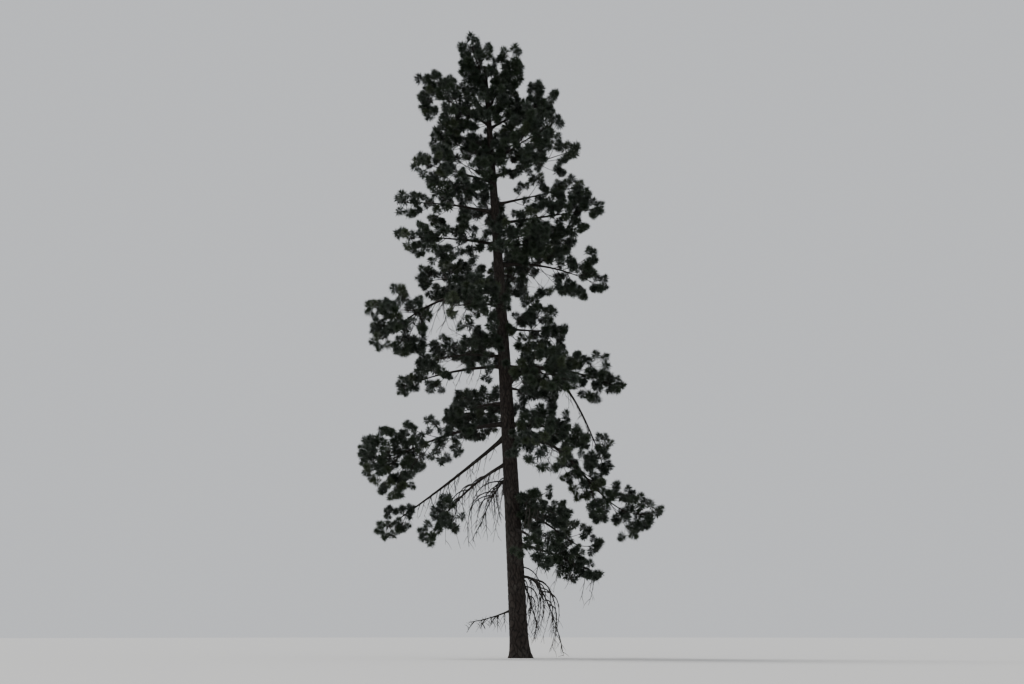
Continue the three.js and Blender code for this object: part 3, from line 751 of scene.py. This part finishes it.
def twig_surface(lines, radii, sides, seed):
    """Many thin tubes at once: rings across each line of points, on two directions square to it that are
    worked out from one fixed direction for each twig. The radius falls evenly from the first to the second
    of radii."""
    count, rings, _ = lines.shape
    along = unit(np.gradient(lines, axis=1))
    chord = unit(lines[:, -1] - lines[:, 0])
    other = np.eye(3)[np.argmin(np.abs(chord), axis=-1)][:, None, :]
    side = unit(np.cross(other, along))
    upright = np.cross(along, side)
    turn = np.linspace(0.0, 2.0 * np.pi, sides, endpoint=False)
    ring = (side[:, :, None, :] * np.cos(turn)[:, None] + upright[:, :, None, :] * np.sin(turn)[:, None])
    radius = np.linspace(radii[0], radii[1], rings)[None, :, None, None]
    walls = lines[:, :, None, :] + radius * ring
    poles = np.stack([lines[:, 0], lines[:, -1]], axis=1)
    fours, threes = wall_faces(count, rings, sides)
    points = np.concatenate([walls.reshape(-1, 3), poles.reshape(-1, 3)])
    own = chance(np.arange(count) + seed, TWIG_TONE_DICE)
    tone = np.concatenate([np.repeat(own, rings * sides), np.repeat(own, 2)])
    return points, fours, threes, np.ones(len(points)), tone


def on_lines(lines, place):
    """Places on lines of points, each at a share of its own line's length."""
    ring = place * (lines.shape[-2] - 1)
    lower = np.minimum(np.floor(ring).astype(int), lines.shape[-2] - 2)
    share = (ring - lower)[..., None]
    before = np.take_along_axis(lines, lower[..., None, None], axis=-2)[..., 0, :]
    after = np.take_along_axis(lines, lower[..., None, None] + 1, axis=-2)[..., 0, :]
    return before * (1.0 - share) + after * share


def shoot_lines(start, end, direction, steps):
    """Curves that leave start and come into end along its shoot's own direction."""
    span = np.linalg.norm(end - start, axis=-1, keepdims=True)
    return curve(start, end - direction * SHOOT_BEND * span, end, steps)


# One shoot for each of a spray's seven points. The first carries on its twig and the others fork from it.
# Near the trunk, where little light comes in, many of the forks have died away.
for b in branches:
    b.apart = spray_radius(b) / np.cbrt(b.full)
sprays = filled([spray for b in branches for spray in own_sprays(b)])
spray_root = np.array([s.root for s in sprays])
spray_centre = np.array([s.centre for s in sprays])
spray_axis = np.array([s.axis for s in sprays])
spray_size = np.array([s.size for s in sprays])
spray_reach = np.array([s.branch.reach for s in sprays])
turns = np.array([spray_turn(s) for s in sprays])
spikes = np.array([[out * np.cos(a), out * np.sin(a), along] for out, along, a in SPIKES])
number = np.arange(len(sprays))[:, None] + np.zeros(len(spikes), int)
spike = np.arange(len(spikes))[None, :] + 0 * number
unevenness = np.stack([
    between(-SHOOT_UNEVEN, SHOOT_UNEVEN, number + 0.5, spike + 3.0 * i) for i in range(3)], axis=-1)
outwards = unit(np.einsum("nij,kj->nki", turns, spikes) + unevenness)
shoot_length = SHOOT_REACH * spray_size[:, None] * between(*SHOOT_LENGTHS, number, spike + LENGTH_DICE)
shoot_length = shoot_length - SHOOT_SHORT
shoot_end = spray_centre[:, None, :] + outwards * shoot_length[..., None]
shoot_direction = unit(outwards + UP * SHOOT_UP)
twig_bend = spray_centre - spray_axis * (NECK * spray_size)[:, None]
twig_lines = curve(spray_root, twig_bend, shoot_end[:, 0], TWIG_STEPS)
from_trunk = np.linalg.norm((spray_centre - trunk_centre(spray_centre[:, 2]))[:, :2], axis=-1)
lit = np.clip(from_trunk / spray_reach, 0.0, 1.0)[:, None]
living_share = FORKS_LIVING[0] + (FORKS_LIVING[1] - FORKS_LIVING[0]) * lit
living = chance(number, spike + LIVING_DICE) < living_share
from_axis = np.linalg.norm((shoot_end - trunk_centre(shoot_end[..., 2]))[..., :2], axis=-1)
clear = from_axis > trunk_radius(np.minimum(shoot_end[..., 2], TRUNK_TOP)) + TRUNK_MARGIN
forks = living & clear & (spike > 0)
fork_number, fork_spike = number[forks], spike[forks]
fork_place = between(*FORKS_LEAVE, fork_number, fork_spike + LEAVE_DICE)
fork_root = on_lines(twig_lines[fork_number], fork_place)
fork_lines = shoot_lines(fork_root, shoot_end[forks], shoot_direction[forks], FORK_STEPS)
storey = (TWIG_PIECES * np.argsort(np.argsort(-spray_root[:, 2])) / len(sprays)).astype(int)
for piece_number in range(TWIG_PIECES):
    mine = storey == piece_number
    make_wood(
        f"twigs_{piece_number + 1}",
        [twig_surface(twig_lines[mine], TWIG_RADII, TWIG_SIDES, TWIG_TONE),
         twig_surface(fork_lines[mine[fork_number]], FORK_RADII, FORK_SIDES, FORK_TONE)],
        limb_bark, [])

# The needles. Stiff, long and dark green, set all round the last hand's breadth of every shoot, so that each
# shoot ends in a round tuft. A needle is a slender four-faced blade. Each tuft has one plain tint: the
# needles' own dark green, darkened further with painted shade, the shade of a tree seen against the light.
NEEDLES = 92
NEEDLE_LENGTH = (0.155, 0.215)
NEEDLE_WIDTH = 0.021
NEEDLE_THICKNESS = 0.017
NEEDLE_WIDEST = 0.6
NEEDLE_FACES = np.array([[0, 2, 1], [0, 1, 3], [0, 3, 2], [1, 2, 3]])
SHOOT_CLOTHED = 0.10
NEEDLE_ANGLES = (122.0, 4.0)
LEAN_UNEVEN = 9.0
AROUND_UNEVEN = 0.3
TWIST_UNEVEN = 0.5
LEAN_DICE, AROUND_DICE, TWIST_DICE, NEEDLE_DICE = 100, 200, 300, 400
TUFT_PATTERNS = 8
PATTERN_SEED = 0.25
TUFT_PIECES = 6
TUFT_SIZES = (0.9, 1.06)
TUFT_LEAST = 0.72
TUFT_SIZE_DICE, ROLL_DICE, PATTERN_DICE = 1.0, 2.0, 3.0
SPRAY_TINT_DICE, TUFT_TINT_DICE, THIN_DICE = 4.0, 5.0, 6.0
TINT_OF_SPRAY = 0.6
# Painted shade: each tint is a needle green, from deep to light, darkened further so that the crown shows
# near-black like a tree seen against the light.
NEEDLE_TINTS_WITH_PAINTED_SHADE = {
    "needles_deep": (0.010, 0.018, 0.009), "needles_dark": (0.014, 0.025, 0.012),
    "needles_green": (0.020, 0.034, 0.015), "needles_grey": (0.024, 0.036, 0.023),
    "needles_light": (0.032, 0.046, 0.019),
}
NEEDLE_ROUGHNESS = 0.55
# Six small ovals of the crown, as seen from -Y, that have lost most of their needles: the middle in x and z,
# and half the width and half the height.
THIN_PLACES = [
    ((-1.6, 14.3), (0.45, 0.3)), ((-1.2, 12.5), (0.35, 0.3)), ((0.6, 10.9), (0.45, 0.4)),
    ((-1.95, 9.6), (0.75, 0.5)), ((-1.95, 8.45), (0.4, 0.3)), ((0.75, 5.8), (0.5, 0.35)),
]
THIN_LEFT = 0.15


def tuft_pattern(seed):
    """One tuft on a shoot that ends at the origin and points to +Z. Needle k starts further up the shoot as k
    grows, leans out less, and winds round by the golden angle. A needle has four corners: its foot, its tip,
    and two at its widest place, set apart across it and a little to one side."""
    k = np.arange(NEEDLES)
    share = (k + chance(seed, k)) / NEEDLES
    level = np.cos(np.radians(NEEDLE_ANGLES))
    lean = np.arccos(level[0] + (level[1] - level[0]) * share)
    lean = lean + np.radians(between(-LEAN_UNEVEN, LEAN_UNEVEN, seed, k + LEAN_DICE))
    wind = k * GOLDEN_ANGLE + between(-AROUND_UNEVEN, AROUND_UNEVEN, seed, k + AROUND_DICE)
    direction = np.stack([np.sin(lean) * np.cos(wind), np.sin(lean) * np.sin(wind), np.cos(lean)], axis=-1)
    twist = between(-TWIST_UNEVEN, TWIST_UNEVEN, seed, k + TWIST_DICE)
    side = unit(np.stack([-np.sin(wind), np.cos(wind), twist], axis=-1))
    side = unit(side - direction * np.sum(side * direction, axis=-1, keepdims=True))
    keel = np.cross(direction, side)
    length = between(*NEEDLE_LENGTH, seed, k + NEEDLE_DICE)[:, None]
    foot = UP * (SHOOT_CLOTHED * (share - 1.0))[:, None]
    middle = foot + direction * length * NEEDLE_WIDEST + keel * NEEDLE_THICKNESS
    half = side * NEEDLE_WIDTH / 2.0
    return np.stack([foot, foot + direction * length, middle + half, middle - half], axis=1)


def needle_points(place, direction, size, roll, pattern):
    """The needles of many tufts: each takes its pattern, turned so that +Z is its shoot's direction, rolled
    about it, scaled and moved to the shoot's end."""
    other = np.eye(3)[np.argmin(np.abs(direction), axis=-1)]
    side = unit(np.cross(other, direction))
    upright = np.cross(direction, side)
    across = side * np.cos(roll)[:, None] + upright * np.sin(roll)[:, None]
    turn = np.stack([across, np.cross(direction, across), direction], axis=-1) * size[:, None, None]
    return np.einsum("tij,tnvj->tnvi", turn, pattern) + place[:, None, None, :]


def shed(place, number):
    """True for tufts that have dropped, so that light shows between bare shoots: most of those in a thin
    place. In it, the squares of the offsets in x and z, in shares of the half sizes, add up to below 1."""
    inside = [((place[:, 0] - x) / across) ** 2 + ((place[:, 2] - z) / up) ** 2 < 1.0
              for (x, z), (across, up) in THIN_PLACES]
    return np.any(inside, axis=0) & (chance(number, THIN_DICE) > THIN_LEFT)


def plain_tint(name, color):
    """A needle tint: one plain base colour with a soft gloss."""
    material = bpy.data.materials.new(name)
    material.use_nodes = True
    shader = material.node_tree.nodes["Principled BSDF"]
    shader.inputs["Base Color"].default_value = (*color, 1.0)
    shader.inputs["Roughness"].default_value = NEEDLE_ROUGHNESS
    return material


patterns = np.array([tuft_pattern(seed + PATTERN_SEED) for seed in range(TUFT_PATTERNS)])
tints = [plain_tint(name, color) for name, color in NEEDLE_TINTS_WITH_PAINTED_SHADE.items()]
tuft_spray = np.concatenate([number[:, 0], fork_number])
tuft_place = np.concatenate([shoot_end[:, 0], shoot_end[forks]])
tuft_direction = np.concatenate([shoot_direction[:, 0], shoot_direction[forks]])
tuft_number = np.arange(len(tuft_spray))
tuft_size = np.clip(spray_size[tuft_spray] / SPRAY_RADIUS, TUFT_LEAST, 1.0)
tuft_size = between(*TUFT_SIZES, tuft_number, TUFT_SIZE_DICE) * tuft_size
tuft_roll = 2.0 * np.pi * chance(tuft_number, ROLL_DICE)
tuft_shed = shed(tuft_place, tuft_number)
tuft_pattern_number = (TUFT_PATTERNS * chance(tuft_number, PATTERN_DICE)).astype(int)
tint_share = (TINT_OF_SPRAY * chance(tuft_spray, SPRAY_TINT_DICE)
              + (1.0 - TINT_OF_SPRAY) * chance(tuft_number, TUFT_TINT_DICE))
tuft_tint = np.clip(len(tints) * tint_share, 0, len(tints) - 1).astype(int)

# The tufts are shared out among the pieces by their branch's height, from the top down, so that each piece
# is one storey of the crown.
from_the_top = sorted(branches, key=lambda b: -b.height)
for b in branches:
    b.rank = from_the_top.index(b)
tuft_rank = np.array([s.branch.rank for s in sprays])[tuft_spray]
tufts_on_branch = np.bincount(tuft_rank, minlength=len(branches))
middle_tuft = np.cumsum(tufts_on_branch) - tufts_on_branch / 2.0
piece_of_rank = (TUFT_PIECES * middle_tuft / len(tuft_spray)).astype(int)
tuft_piece = piece_of_rank[tuft_rank]
for piece_number in range(TUFT_PIECES):
    mine = (tuft_piece == piece_number) & ~tuft_shed
    places = needle_points(tuft_place[mine], tuft_direction[mine], tuft_size[mine], tuft_roll[mine],
                           patterns[tuft_pattern_number[mine]])
    needles = mine.sum() * NEEDLES
    faces = (NEEDLE_FACES[None] + 4 * np.arange(needles)[:, None, None]).reshape(-1, 3)
    piece = make_piece(f"needles_{piece_number + 1}", places.reshape(-1, 3), [faces], [False])
    for tint in tints:
        piece.data.materials.append(tint)
    piece.data.polygons.foreach_set(
        "material_index", np.repeat(tuft_tint[mine], NEEDLES * len(NEEDLE_FACES)).astype(np.int32))
    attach(piece, "root")
    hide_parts(*[b.name for b in branches if piece_of_rank[b.rank] == piece_number])

# The dead branches. Grey, brittle limbs low on the trunk that lost their bark and needles, with bare twigs
# that hang from them and fork again, and fine twigs on those. Long bent strands hang from some living limbs
# too, and thin bare twigs from the bare part of each.
DEAD_DICE = 200
DEAD_SHORTEST, DEAD_NARROWEST, DEAD_ONWARDS, DEAD_DROP = 0.55, 0.4, 0.45, 0.6
DEAD_FORK_ACROSS, DEAD_FORK_ONWARDS, DEAD_FORK_DROP = 0.2, -0.15, 0.45
DEAD_TIP_SHARE = 0.9
DEAD_SIDES, DEAD_STEP = 14, 0.02
DEAD_BOW = 0.10
DEAD_TWIG_RADII, DEAD_TWIG_SIDES, DEAD_TWIG_STEPS = (0.022, 0.005), 7, 9
DEAD_FORK_RADII, DEAD_FORK_SIDES, DEAD_FORK_STEPS = (0.014, 0.004), 6, 7
BOW_LIFT = 0.9
BOW_DICE = (11.0, 12.0)
STRAND_DICE = 400
STRAND_START_DICE, STRAND_FALL_DICE, STRAND_SWING_DICE, STRAND_SPREAD_DICE = 300, 320, 340, 360
STRAND_RADII, STRAND_SIDES, STRAND_STEPS = (0.023, 0.004), 7, 12
STRAND_FALL = (0.5, 1.0)
STRAND_SWING = 0.55
STRAND_BEND = 0.42
DEAD_WOOD = SimpleNamespace(around=6, height=0.16, depth=0.0028, furrow=0.5, scales=2, scale_depth=0.0008)
FINE_RADII, FINE_SIDES, FINE_STEPS = (0.009, 0.003), 5, 6
FINE_PER_TWIG = 6
FINE_LENGTH = (0.16, 0.36)
FINE_FIRST = 0.25
FINE_ONWARDS = 0.6
FINE_DROP = 0.9
FINE_BOW = 0.12
FINE_LENGTH_DICE = 7.0
TWIG_FINE_SEED, STRAND_FINE_SEED, HANGING_FINE_SEED = 3.0, 4.0, 6.0
LEAST_HEIGHT = 0.03
HANGING_PER_METRE = 5.0
HANGING_LENGTH = (0.3, 0.75)
HANGING_FIRST = 0.12
HANGING_SWING, HANGING_ONWARDS, HANGING_DROP = 0.8, 0.45, 0.9
HANGING_START_DICE, HANGING_LENGTH_DICE, HANGING_SWING_DICE = 500, 520, 540
HANGING_RADII, HANGING_SIDES, HANGING_STEPS = (0.015, 0.003), 5, 8
HANGING_FINE_EACH, HANGING_FINE_LENGTH, HANGING_FINE_DROP = 2, (0.08, 0.2), 0.8
HANGING_FINE_SIDES, HANGING_FINE_STEPS = 4, 5


def dead_branch(name, height, turn, reach, rise, arch, bare, width, twigs, twig_length, drop=0.9):
    """One dead limb, told as branch() tells a living one. From the share bare of its length on it carries so
    many twigs, up to width off to either side and up to twig_length long. Their fine ones fall by drop."""
    return SimpleNamespace(name=name, height=height, turn=turn, reach=reach, rise=rise, arch=arch, hook=0.0,
                           bare=bare, width=width, twigs=twigs, twig_length=twig_length, drop=drop)


def strand_row(limb, count, first, last, lowest, longest, spread):
    """Long bare strands on a limb, from the share first to the share last of it. They end above the height
    lowest, fall longest at most, and end up to spread outwards for each metre of their fall."""
    return SimpleNamespace(
        limb=limb, count=count, first=first, last=last, lowest=lowest, longest=longest, spread=spread)


DEAD_BRANCHES = [
    dead_branch("dead_left_twigs", 5.25, 140, 1.15, -1.5, 0.18, 0.15, 0.42, 6, 0.8),
    dead_branch("dead_left_limb", 1.45, 186, 1.4, -0.43, -0.06, 0.3, 0.3, 3, 0.48, drop=-1.2),
    dead_branch("dead_right_limb", 2.2, -12, 1.33, -1.83, 0.76, 0.25, 0.33, 6, 0.8),
    dead_branch("dead_right_twigs", 2.75, 34, 0.8, -1.95, 0.22, 0.2, 0.32, 6, 0.76),
]
STRANDS = [
    strand_row("dead_left_twigs", 11, 0.03, 0.6, lowest=3.1, longest=2.0, spread=0.7),
    strand_row("dead_left_limb", 5, 0.1, 0.75, lowest=0.9, longest=0.5, spread=0.4),
    strand_row("dead_right_limb", 10, 0.1, 0.75, lowest=0.1, longest=2.1, spread=0.4),
    strand_row("dead_right_twigs", 6, 0.1, 0.75, lowest=0.2, longest=2.2, spread=0.5),
    strand_row("left_wing", 8, 0.08, 0.45, lowest=8.9, longest=1.4, spread=1.0),
    strand_row("right_low", 5, 0.1, 0.35, lowest=4.9, longest=0.9, spread=0.6),
    strand_row("left_hanging", 9, 0.12, 0.6, lowest=3.2, longest=1.6, spread=0.5),
    strand_row("left_bare", 5, 0.15, 0.8, lowest=3.7, longest=0.9, spread=0.2),
    strand_row("right_lowest", 11, 0.15, 0.85, lowest=1.2, longest=1.1, spread=0.2),
    strand_row("right_lap", 7, 0.12, 0.5, lowest=2.4, longest=1.4, spread=0.3),
]


def dead_twigs(b):
    """Bare twigs that hang from a dead limb to either side by turns, each second one forked: start and end of
    every twig, told in shares of its length along the limb, across it and down."""
    twigs, forks = [], []
    for k in range(b.twigs):
        share = b.bare + (1.0 - b.bare) * (k + 0.5) / b.twigs
        along, side, _ = b.line.directions(share)
        length = b.twig_length * between(DEAD_SHORTEST, 1.0, b.seed, k + SIZE_DICE)
        swing = (1 if k % 2 else -1) * b.width * between(DEAD_NARROWEST, 1.0, b.seed, k + PLACE_DICE)
        start = b.line.point(share)
        end = start + side * swing + along * DEAD_ONWARDS * length - UP * DEAD_DROP * length
        twigs.append((start, end))
        if k % 2:
            fork = (start + end) / 2.0
            forks.append((fork, fork + side * DEAD_FORK_ACROSS * swing + along * DEAD_FORK_ONWARDS * length
                          - UP * DEAD_FORK_DROP * length))
    return twigs, forks


def strands(row):
    """The strands of one row. Each falls by a share of the drop that its row allows, and is a curve() whose
    bend lies outwards and to one side of its start and whose end lies below, all in shares of the fall."""
    line, seed, k = all_lines[row.limb], STRAND_DICE + row.count, np.arange(row.count)
    place = (k + chance(seed, k + STRAND_START_DICE)) / row.count
    start = line.point(row.first + (row.last - row.first) * place)
    along, side, _ = line.directions(np.zeros(row.count))
    drop = np.minimum(start[:, 2] - row.lowest, row.longest)[:, None]
    fall = drop * between(*STRAND_FALL, seed, k + STRAND_FALL_DICE)[:, None]
    outwards = unit(along * [1.0, 1.0, 0.0])
    swing = side * between(-STRAND_SWING, STRAND_SWING, seed, k + STRAND_SWING_DICE)[:, None]
    spread = outwards * between(0.0, row.spread, seed, k + STRAND_SPREAD_DICE)[:, None]
    bend = start + (outwards * STRAND_BEND + swing) * fall
    return curve(start, bend, start + (spread + swing - UP) * fall, STRAND_STEPS)


def bowed(start, end, bow, steps):
    """Curves from start to end whose middle is pushed out by bow times their span, upwards and by chance to
    the side."""
    span = np.linalg.norm(end - start, axis=-1, keepdims=True)
    row = np.arange(len(start))
    pushed = [between(-1.0, 1.0, row, dice) for dice in BOW_DICE] + [0.0 * row + BOW_LIFT]
    return curve(start, (start + end) / 2.0 + np.stack(pushed, axis=-1) * bow * span, end, steps)


def fine_twigs(lines, each, length, drop, seed):
    """Start and end of finer twigs on lines of points, so many each. They leave outwards, by the golden angle
    from one to the next, partly onwards along the line, and down by drop, and end above the least height."""
    count, rings, _ = lines.shape
    row = np.repeat(np.arange(count), each)
    step = np.tile(np.arange(each), count)
    place = (FINE_FIRST + (1.0 - FINE_FIRST) * (step + chance(row + seed, step)) / each) * (rings - 1)
    lower = np.minimum(np.floor(place).astype(int), rings - 2)
    share = (place - lower)[:, None]
    start = lines[row, lower] * (1.0 - share) + lines[row, lower + 1] * share
    along = unit(lines[row, lower + 1] - lines[row, lower])
    wind = (row + step) * GOLDEN_ANGLE + seed
    out = np.stack([np.cos(wind), np.sin(wind), 0.0 * wind - drop], axis=-1)
    own_length = between(*length, row + seed, step + FINE_LENGTH_DICE)[:, None]
    end = start + unit(out + along * FINE_ONWARDS) * own_length
    end[:, 2] = np.maximum(end[:, 2], LEAST_HEIGHT)
    return start, end


def hanging_twigs(b):
    """Thin bare twigs under the bare part of a living limb: start on the limb, end below and to one side."""
    shown = b.bare * b.line.length - trunk_radius(b.height)
    count = max(1, int(round(HANGING_PER_METRE * shown)))
    k = np.arange(count)
    place = (k + chance(b.seed, k + HANGING_START_DICE)) / count
    t = b.bare * (HANGING_FIRST + (1.0 - HANGING_FIRST) * place)
    along, side, _ = b.line.directions(t)
    length = between(*HANGING_LENGTH, b.seed, k + HANGING_LENGTH_DICE)[:, None]
    swing = between(-HANGING_SWING, HANGING_SWING, b.seed, k + HANGING_SWING_DICE)[:, None]
    start = b.line.point(t)
    return start, start + unit(side * swing + along * HANGING_ONWARDS - UP * HANGING_DROP) * length


for i, b in enumerate(DEAD_BRANCHES):
    b.seed = DEAD_DICE + i
    b.line = branch_line(b, b.seed)
dead_lines, dead_forks, fine_ends = [], [], []
for b in DEAD_BRANCHES:
    twigs, forks = (np.array(ends) for ends in dead_twigs(b))
    dead_lines.append(bowed(twigs[:, 0], twigs[:, 1], DEAD_BOW, DEAD_TWIG_STEPS))
    dead_forks.append(bowed(forks[:, 0], forks[:, 1], DEAD_BOW, DEAD_FORK_STEPS))
    fine_ends.append(fine_twigs(dead_lines[-1], FINE_PER_TWIG, FINE_LENGTH, b.drop, TWIG_FINE_SEED + b.seed))
all_lines = {b.name: b.line for b in branches + DEAD_BRANCHES}
strand_lines = np.concatenate([strands(row) for row in STRANDS])
fine_ends.append(fine_twigs(strand_lines, FINE_PER_TWIG, FINE_LENGTH, FINE_DROP, STRAND_FINE_SEED))
fine_starts, fine_tips = (np.concatenate(part) for part in zip(*fine_ends))
hanging_starts, hanging_ends = (np.concatenate(part) for part in zip(*(hanging_twigs(b) for b in limbs)))
hanging_lines = bowed(hanging_starts, hanging_ends, FINE_BOW, HANGING_STEPS)
hanging_fine = bowed(
    *fine_twigs(hanging_lines, HANGING_FINE_EACH, HANGING_FINE_LENGTH, HANGING_FINE_DROP, HANGING_FINE_SEED),
    FINE_BOW, HANGING_FINE_STEPS)
# Each set of lines with its radii, its sides and the dice of its tone.
bare_tubes = [
    (np.concatenate(dead_lines), DEAD_TWIG_RADII, DEAD_TWIG_SIDES, 1.0),
    (np.concatenate(dead_forks), DEAD_FORK_RADII, DEAD_FORK_SIDES, 2.0),
    (strand_lines, STRAND_RADII, STRAND_SIDES, 3.0),
    (bowed(fine_starts, fine_tips, FINE_BOW, FINE_STEPS), FINE_RADII, FINE_SIDES, 4.0),
    (hanging_lines, HANGING_RADII, HANGING_SIDES, 4.0),
    (hanging_fine, FINE_RADII, HANGING_FINE_SIDES, 5.0),
]
dead_wood = wood_material(
    "dead_wood", furrow=(0.010, 0.009, 0.008), dark=(0.020, 0.018, 0.016), light=(0.058, 0.053, 0.047),
    lichen=(0.085, 0.088, 0.075), lichen_share=0.5, grain=95.0, bump=0.002)
make_wood(
    "dead_branches",
    [limb_surface(b, b.line, inside_trunk(b), 1.0, DEAD_SIDES, DEAD_STEP, DEAD_WOOD, b.seed, DEAD_TIP_SHARE)
     for b in DEAD_BRANCHES]
    + [twig_surface(lines, radii, sides, tone) for lines, radii, sides, tone in bare_tubes],
    dead_wood, [b.name for b in DEAD_BRANCHES])

# What it is shown with. A plain pale floor level with the flat cut, a plain backdrop, one soft high light,
# and a camera far off at eye height that looks up a little.
FLOOR_RADIUS = 70.0
FLOOR_SIDES = 96
FLOOR_BELOW = 0.002
FLOOR_COLOR = (0.62, 0.61, 0.59)
FLOOR_ROUGHNESS = 0.9
BACKDROP_COLOR = (0.80, 0.82, 0.85)
BACKDROP_STRENGTH = 0.85
SUN_STRENGTH = 2.4
SUN_SOFTNESS = 25.0
SUN_TURN = (38.0, 0.0, -130.0)
SENSOR_WIDTH = 36.0
FRAME_WIDTH, FRAME_HEIGHT = 1024, 684
FRAMED_HEIGHT = 19.6
EYE_HEIGHT = 1.6
CAMERA_DISTANCE = 120.0
CAMERA_SEES = 1000.0
AIM_HEIGHT = 9.05

turn = np.linspace(0.0, 2.0 * np.pi, FLOOR_SIDES, endpoint=False)
disc = np.stack([FLOOR_RADIUS * np.cos(turn), FLOOR_RADIUS * np.sin(turn), 0.0 * turn - FLOOR_BELOW], axis=-1)
floor = make_piece("floor", disc, [np.arange(FLOOR_SIDES)[None, :]], [False])
floor_paint = bpy.data.materials.new("floor_paint")
floor_paint.use_nodes = True
floor_paint.node_tree.nodes["Principled BSDF"].inputs["Base Color"].default_value = (*FLOOR_COLOR, 1.0)
floor_paint.node_tree.nodes["Principled BSDF"].inputs["Roughness"].default_value = FLOOR_ROUGHNESS
floor.data.materials.append(floor_paint)

world = bpy.data.worlds.new("backdrop")
world.use_nodes = True
world.node_tree.nodes["Background"].inputs["Color"].default_value = (*BACKDROP_COLOR, 1.0)
world.node_tree.nodes["Background"].inputs["Strength"].default_value = BACKDROP_STRENGTH
bpy.context.scene.world = world

sun = bpy.data.objects.new("sun", bpy.data.lights.new("sun", "SUN"))
sun.data.energy = SUN_STRENGTH
sun.data.angle = np.radians(SUN_SOFTNESS)
sun.rotation_euler = np.radians(SUN_TURN)
bpy.context.scene.collection.objects.link(sun)

camera = bpy.data.objects.new("camera", bpy.data.cameras.new("camera"))
camera.data.sensor_width = SENSOR_WIDTH
camera.data.lens = SENSOR_WIDTH * FRAME_HEIGHT / FRAME_WIDTH * CAMERA_DISTANCE / FRAMED_HEIGHT
camera.data.clip_end = CAMERA_SEES
low, high = cad_box
aim = Vector(((low.x + high.x) / 2.0, 0.0, AIM_HEIGHT))
camera.location = (aim.x, -CAMERA_DISTANCE, EYE_HEIGHT)
camera.rotation_euler = (aim - camera.location).to_track_quat("-Z", "Y").to_euler()
bpy.context.scene.collection.objects.link(camera)
bpy.context.scene.camera = camera
